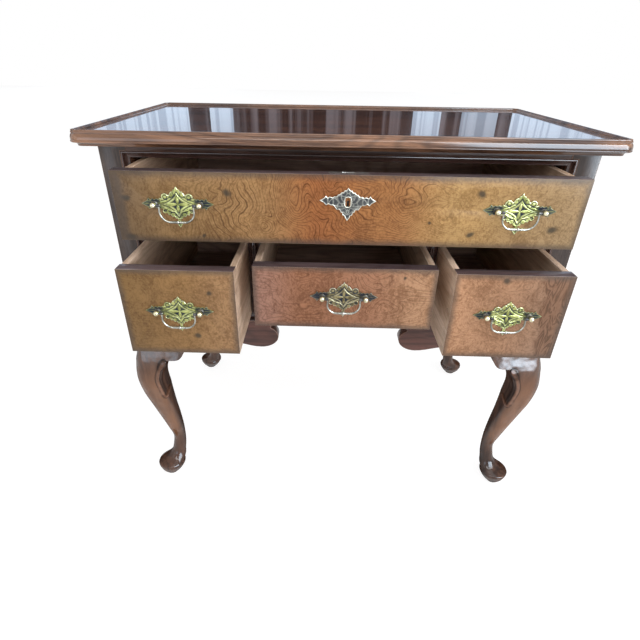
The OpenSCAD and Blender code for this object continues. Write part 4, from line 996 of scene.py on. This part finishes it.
def cast_plate(name, outline, chasing, step=0.62, window=None):
    """A cast plate on the plane y = 0, in millimetres, pierced by the window; chasing gives the rise, the grime
    and the rubbing at each point."""
    loops = [spaced(line, step) for line in (outline, window) if line is not None]

    def in_metal(points):
        return inside(points, loops[0]) & ~np.any([inside(points, hole) for hole in loops[1:]], axis=0)

    def to_edge(points):
        return np.min([to_line(points, np.concatenate([loop, loop[:1]])) for loop in loops], axis=0)

    low, high = outline.min(0), outline.max(0)
    u, v = np.meshgrid(np.arange(low[0], high[0], step), np.arange(low[1], high[1], step * 0.866))
    u = u + (np.arange(len(v)) % 2)[:, None] * step / 2
    grid = np.column_stack([u.ravel(), v.ravel()])
    points = np.concatenate([*loops, grid[in_metal(grid) & (to_edge(grid) > 0.5 * step)]])
    bounds = []
    for loop in loops:
        start, count = len(bounds), len(loop)
        bounds += [(start + i, start + (i + 1) % count) for i in range(count)]
    flat, _, faces, *_ = geometry.delaunay_2d_cdt([Vector(p) for p in points], bounds, [], 0, 1e-6)
    flat = np.array([tuple(p) for p in flat])
    middles = np.array([flat[list(face)].mean(0) for face in faces])
    faces = [tuple(face) for face, keep in zip(faces, in_metal(middles)) if keep]
    edge_gap = to_edge(flat)
    rise, grime_and_shade, rubbed = chasing(flat, edge_gap)
    top = plate_thick + rise - 0.55 * (1 - np.clip(edge_gap / 0.7, 0, 1)) ** 2
    n_flat = len(flat)
    front = np.column_stack([flat[:, 0], -top, flat[:, 1]])
    back = np.column_stack([flat[:, 0], np.zeros(n_flat), flat[:, 1]])
    walls = [(i, j, n_flat + j, n_flat + i) for i, j in bounds]
    mesh = bpy.data.meshes.new(name)
    mesh.from_pydata(np.concatenate([front, back]).tolist(), [],
                     faces + [tuple(n_flat + i for i in face[::-1]) for face in faces] + walls)
    for label, marks, wall in (("hollow", grime_and_shade, 0.35), ("arris", rubbed, 0.0)):
        values = [float(marks[list(face)].mean()) for face in faces] + [0.0] * len(faces) + [wall] * len(walls)
        mesh.attributes.new(label, "FLOAT", "FACE").data.foreach_set("value", values)
    return mesh


def line_mark(away, width):
    return np.clip(1.25 - away / width, 0, 1)


def handle_chasing(points, edge_gap):
    """A four-petalled flower on a dark star, bright scrolls from the posts to the foot, leafy lobes round the
    rim, and dark veined wings."""
    u, v = np.abs(points[:, 0]), points[:, 1]
    flat = np.column_stack([u, v])
    star = (u / 21) ** 0.66 + (np.abs(v + 0.5) / 15) ** 0.66 - 1
    in_star = 1 - ease(-0.12, -0.02, star)
    side_leaf = 2.3 * np.clip(1 - ((u - 8) / 8.2) ** 2, 0, None)
    up_leaf = 2.1 * np.clip(1 - ((np.abs(v + 0.5) - 5.5) / 6.0) ** 2, 0, None)
    leaf = np.maximum(side_leaf - np.abs(v + 0.5), up_leaf - u)
    ground = in_star * (1 - ease(-0.3, 0.35, leaf))
    star_rim = np.clip(1 - np.abs(star - 0.04) / 0.05, 0, 1)
    around = np.clip(1.2 - np.abs(star - 0.17) / 0.07, 0, 1)
    scroll_line = np.array([
        (31, -0.5), (25, -2.4), (19, -5), (13.5, -8.6), (9, -10.4), (5.2, -10.6), (2.4, -14), (0, -18)])
    to_scroll = to_line(flat, scroll_line)
    bright = line_mark(to_scroll, 0.95)
    below = line_mark(np.abs(to_scroll - 2.0), 0.9) * (v < -9.5) * (u < 14)
    crown = np.array([(0, 17.5), (3.2, 13), (6.5, 10), (10.5, 9.8), (15, 6.8), (20, 5.2), (26, 3.2)])
    crown_line = line_mark(to_line(flat, crown), 0.85)
    angle = np.arctan2(v + 1, u)
    lobes = line_mark(np.abs(np.sin(angle * 7.5)) * np.hypot(u, v) * 0.13, 0.8)
    lobes = lobes * (edge_gap > 0.9) * (star > 0.3)
    shell = np.maximum(line_mark(np.abs(np.hypot(u - 17.2, v - 9.8) - 2.7), 0.8),
                       line_mark(np.abs(np.hypot(u - 19.2, v + 10) - 1.6), 0.7)) * (u > 13)
    pendant = line_mark(np.abs(np.hypot(u, (v + 29.2) / 1.6) - 1.2), 0.5) * (v < -24)
    wing = ease(22.5, 26.5, u)
    vein = line_mark(np.abs(v - 0.4), 0.5) + line_mark(np.abs(np.abs(v - 0.3) - (u - 30) * 0.2 - 1.8), 0.45)
    rim = np.clip(1 - edge_gap, 0, 1)
    dark = np.clip(ground + around + crown_line + 0.95 * lobes + shell + pendant + below, 0, 1)
    dark = dark * (1 - np.clip(bright + star_rim, 0, 1))
    dark = np.maximum(dark, wing * (1 - 0.5 * np.clip(vein, 0, 1)))
    dark = np.clip(dark * (1 - 0.85 * rim * (1 - 0.5 * wing)), 0, 1)
    rubbed = np.clip(rim * (1 - 0.2 * wing) + 0.5 * star_rim + 0.4 * bright, 0, 1) * (1 - 0.7 * dark)
    rise = 0.4 * rim + 0.5 * bright + 0.3 * star_rim + 0.3 * np.clip(leaf, 0, 1) - 0.45 * dark * (1 - wing)
    return rise - 0.25 * wing * (1 - rim), dark, rubbed


def brass_metal(name, bright, dull, grime_and_shade, rough, wear=0.65):
    """Cast metal, tarnished in clouds, dark with tarnish in its hollows and with painted shade in its crevices,
    and rubbed bright on its arrises.
    """
    made, tree = blank_material(name)
    place = on_piece(tree)
    tarnish = ramped(tree, noise(tree, place, (120, 120, 120), 5, 0.65), 0.4, 0.62)
    metal = tinted(tree, times(tree, tarnish, 0.8), bright, dull)
    dirt_and_shade = use(tree, grime_and_painted_shade, Position=place, Colour=metal, Grime=grime_and_shade, Amount=0.97)
    rubbed = use(tree, worn_arris, Position=stretched(tree, place, 7, 7, 7), Colour=dirt_and_shade["Colour"],
                 Worn=(0.86, 0.83, 0.70), Wear=wear)["Colour"]
    shine = scaled(tree, tarnish, 0.14, rough)
    skin(tree, noise(tree, place, (900, 900, 900), 3, 0.6), 0.00012, 0.35, {
        "Base Color": rubbed, "Roughness": scaled(tree, dirt_and_shade["Mask"], 0.25, shine),
        "Metallic": scaled(tree, dirt_and_shade["Mask"], -0.55, 1.0)})
    return made


plate_brass = brass_metal("plate_brass", (0.50, 0.52, 0.19), (0.17, 0.19, 0.055), (0.008, 0.014, 0.034), 0.3)
centre_brass = brass_metal("centre_brass", (0.32, 0.27, 0.14), (0.10, 0.08, 0.04), (0.010, 0.017, 0.036), 0.32)
ball_brass = brass_metal("ball_brass", (0.74, 0.70, 0.50), (0.36, 0.33, 0.20), (0.012, 0.012, 0.020), 0.2)
bail_brass = brass_metal("bail_brass", (0.46, 0.45, 0.40), (0.16, 0.16, 0.14), (0.012, 0.012, 0.020), 0.22)


def lathe(profile, place, toward, sides=28):
    """Turns a profile of (distance along, radius) about the line from place toward a direction."""
    toward = Vector(toward).normalized()
    first = toward.orthogonal().normalized()
    second = toward.cross(first)
    a = np.linspace(0, 2 * np.pi, sides, endpoint=False)[:, None]
    circle = np.cos(a) * np.array(first) + np.sin(a) * np.array(second)
    return [np.array(place) + np.array(toward) * d + circle * r for d, r in profile]


rod_sides = 16


def wire(path, radii):
    """Rings of a round rod along a path in the plane y = 0."""
    tangent = np.gradient(path, axis=0)
    tangent /= np.linalg.norm(tangent, axis=1)[:, None]
    a = np.linspace(0, 2 * np.pi, rod_sides, endpoint=False)[:, None]
    rings = []
    for point, way, radius in zip(path, tangent, radii):
        across = np.array((way[1], -way[0]))
        flat = point + np.cos(a) * across * radius
        rings.append(np.column_stack([flat[:, 0], np.sin(a)[:, 0] * radius, flat[:, 1]]))
    return rings


front_thick, ball, shank = 20.0, 4.3, 2.5
in_drawer = [(6, 0.3), (5.7, 2.1), (5.2, shank)]
on_plate = [(-0.3, shank), (0, 4.2), (0.35, 4.6), (1.0, 4.6), (1.4, 4.1), (1.9, 3.3), (3.0, 2.75), (4.2, 2.6)]
nut = [(0, 3.0), (0, 5.0), (0.4, 5.5), (3.1, 5.5), (3.5, 4.9), (3.5, 2.7)]
post_profile = ([(-front_thick - at, radius) for at, radius in in_drawer]
                + [(plate_thick + at, radius) for at, radius in on_plate]
                + [(pivot_out + ball * math.sin(a), ball * math.cos(a))
                   for a in np.radians(np.linspace(-52, 88, 16))])
nut_profile = [(-front_thick - at, radius) for at, radius in nut]

# The bail in its own plane: pins into the balls, arms, round corners, and a bar that swells to its bead.
# Each knuckle ends just short of its ball, and its pin just short of the middle of the ball.
bail_drop, bail_corner, rod = 24.0, 15.0, 1.5
knuckle_end, knuckle_gap, pin, pin_gap = 3.5, 0.3, 1.2, 0.4
bail_half, pin_end = post_gap / 2 - ball - knuckle_gap - knuckle_end, post_gap / 2 - pin_gap


def bail_shape():
    """Knuckles and pins, the rod that joins them, and the turned bead in the middle of the rod."""
    shape, sides = bmesh.new(), 20
    knuckle = [(bail_half + at, radius) for at, radius in (
        (-2.2, 0.4), (-2.0, 1.7), (-1.4, 2.2), (2.2, 2.2), (2.9, 1.9), (3.3, 2.1), (3.45, 1.6))]
    knuckle += [(bail_half + knuckle_end, pin), (pin_end, pin)]
    # Painted shade where each knuckle runs into its ball
    grime_and_shade = [np.full(sides, 0.85 if at > bail_half - 1.5 else 0.3) for at, _ in knuckle]
    for side in (-1, 1):
        shape.from_mesh(skinned("knuckle", lathe(knuckle, (0, 0, 0), (side, 0, 0), sides), hollow=grime_and_shade))
    sweep = [(bail_half - 0.2 * k * (3 - k) * 0.5, -k * (bail_drop - bail_corner) / 3) for k in range(3)]
    corner = bow(bail_half - bail_corner, bail_corner - bail_drop, bail_corner, bail_corner, 0, -90, 14)
    sweep += corner.tolist()
    sweep += [(x, -bail_drop) for x in np.linspace(bail_half - bail_corner, 0, 10)[1:]]
    path = np.array(sweep + [(-x, z) for x, z in sweep[-2::-1]])
    along_bar = np.abs(path[:, 0]) / bail_half
    swell = np.where(path[:, 1] < -bail_drop + 2, 0.42 * np.cos(np.pi * (along_bar - 0.32)) ** 2, 0.1)
    clean = [np.zeros(rod_sides)] * len(path)
    shape.from_mesh(skinned("rod", wire(path, rod * 0.88 + swell), hollow=clean))
    bead = [(0.5, 2.6), (1.5, 2.3), (2.3, 1.5), (3.1, 1.5), (3.3, 2.2), (4.0, 2.1), (4.2, 1.3)]
    bead = [(-at, radius) for at, radius in bead[::-1]] + bead
    # Painted shade in the bead's narrow necks
    grime_and_shade = [np.full(sides, 0.9 if radius < 2 else 0.0) for _, radius in bead]
    shape.from_mesh(skinned("bead", lathe(bead, (0, 0, -bail_drop), (1, 0, 0), sides), hollow=grime_and_shade))
    return shape


def handle_piece(pivots, name, builder):
    """One mesh of the same casting, drawn in millimetres about a bail's pivot, at every handle of a drawer."""
    shape = bmesh.new()
    for pivot in pivots:
        mesh = builder()
        mesh.transform(Matrix.Translation(pivot) @ Matrix.Scale(mm, 4))
        shape.from_mesh(mesh)
    return to_mesh(name, shape, outward=True)


def plate_at_pivot():
    mesh = cast_plate("plate", plate_outline, handle_chasing)
    mesh.transform(Matrix.Translation((0, pivot_out, 0)))
    return mesh


def pair_at_pivot(profile, sides):
    """The two posts of a handle, or their two nuts; what the plate and the front hide stays dark, and so does
    the collar just above the plate, as painted shade.
    """
    shape = bmesh.new()
    for side in (-1, 1):
        grime_and_shade = [np.full(sides, 0.95 if -front_thick < at < pivot_out - 3.2 else 0.0) for at, _ in profile]
        turned = lathe(profile, (side * post_gap / 2, pivot_out, 0), (0, -1, 0), sides)
        shape.from_mesh(skinned("turned", turned, hollow=grime_and_shade))
    return to_mesh("pair", shape)


pivots = {joint["child"]: Vector(joint["pos_m"]) for joint in frame["joints"] if joint["type"] == "hinge"}
for drawer in FRONTS:
    bails = [name for name in pivots if name.startswith(drawer + "_")]
    places = [pivots[name] for name in bails]
    body, plates = drawer + "_drawer", drawer + ("_plates" if drawer == "top" else "_plate")
    finished(plates + "_chased", handle_piece(places, plates, plate_at_pivot),
             [centre_brass if drawer == "centre" else plate_brass], body, "brass", plates)
    posts = handle_piece(places, drawer + "_posts", lambda: pair_at_pivot(post_profile, 28))
    finished(drawer + "_posts_turned", posts, [ball_brass], body, "brass", drawer + "_posts")
    nuts = handle_piece(places, drawer + "_nuts", lambda: pair_at_pivot(nut_profile, 6))
    finished(drawer + "_nuts_cut", nuts, [plate_brass], body, "brass", drawer + "_nuts")
    for name in bails:
        swung = handle_piece([pivots[name]], name, lambda: to_mesh("bail", bail_shape()))
        finished(name + "_cast", swung, [bail_brass], name, "brass", name)

# ---------------------------------------------------------------- lock
# An iron lock let into the back of the top front, and a cast escutcheon in silvered brass round its
# keyhole, chased with leaves and rubbed bright along its scalloped rim.
key_height = 63.7
escutcheon_outline = mirrored([
    (0, 20), (3, 16.4), (5, 16.6), (7, 13.6), (9.4, 13.8), (11.8, 10.8), (14, 10.6), (16.4, 7.6), (20, 7.8),
    (22, 6.2), (25.4, 7.4), (29, 5.8), (31.4, 8.6), (33.6, 5.6), (40, 2), (33.6, -1.4), (31.2, -4.6),
    (27.6, -2.8), (24, -4.6), (20.4, -4.6), (17.8, -7.6), (15.6, -11), (11.4, -10.6), (9.8, -14.4),
    (7.2, -15.2), (6.8, -18.6), (4, -19.4), (3.2, -22.6), (0, -26.4)])
key_window = np.concatenate([bow(0, 4.7, 3.8, 2.0, 0, 180, 11), bow(0, -4.7, 3.8, 2.0, 180, 360, 11)])


def leaf_chasing(points, edge_gap):
    """Veined leaves that run out from the keyhole along a bright rim."""
    u, v = np.abs(points[:, 0]), points[:, 1]
    angle, reach = np.arctan2(v, u + 0.01), np.hypot(u, v * 1.5)
    veins = line_mark(np.abs(np.sin(angle * 5.5 + 1.6 * np.sin(reach / 4.2))) * (2.4 + reach * 0.07), 1.25)
    scales = line_mark(np.abs(np.sin(reach / 2.5 + 1.2 * np.cos(angle * 6))) * 1.6, 0.75)
    rim = np.clip(1.15 - edge_gap, 0, 1)
    collar = np.clip(1 - np.abs(np.hypot(u / 5.4, v / 7.8) - 1.0) / 0.12, 0, 1)
    dark = np.clip(0.97 - 0.5 * np.maximum(veins, scales * 0.8), 0, 1) * (1 - rim) * (1 - 0.7 * collar)
    return 0.45 * rim + 0.35 * collar - 0.3 * dark, dark, np.clip(rim + 0.6 * collar, 0, 1)


silvered = brass_metal("silvered_brass", (0.74, 0.75, 0.66), (0.36, 0.36, 0.31), (0.014, 0.018, 0.030), 0.32,
                       wear=0.95)
key_place = Vector((0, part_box("escutcheon")[1].y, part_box("top_front")[0].z + key_height * mm))
escutcheon = handle_piece([key_place], "escutcheon", lambda: cast_plate(
    "escutcheon", escutcheon_outline, leaf_chasing, step=0.55, window=key_window))
finished("escutcheon_chased", escutcheon, [silvered], "top_drawer", "silvered_brass", "escutcheon")

lock_iron = brass_metal("lock_iron", (0.30, 0.29, 0.28), (0.13, 0.11, 0.10), (0.02, 0.018, 0.016), 0.42)
for node, body in (("lock_case", "top_drawer"), ("lock_bolt", "lock_bolt")):
    dressed(node, "iron", 0.4, lock_iron, body, "iron")
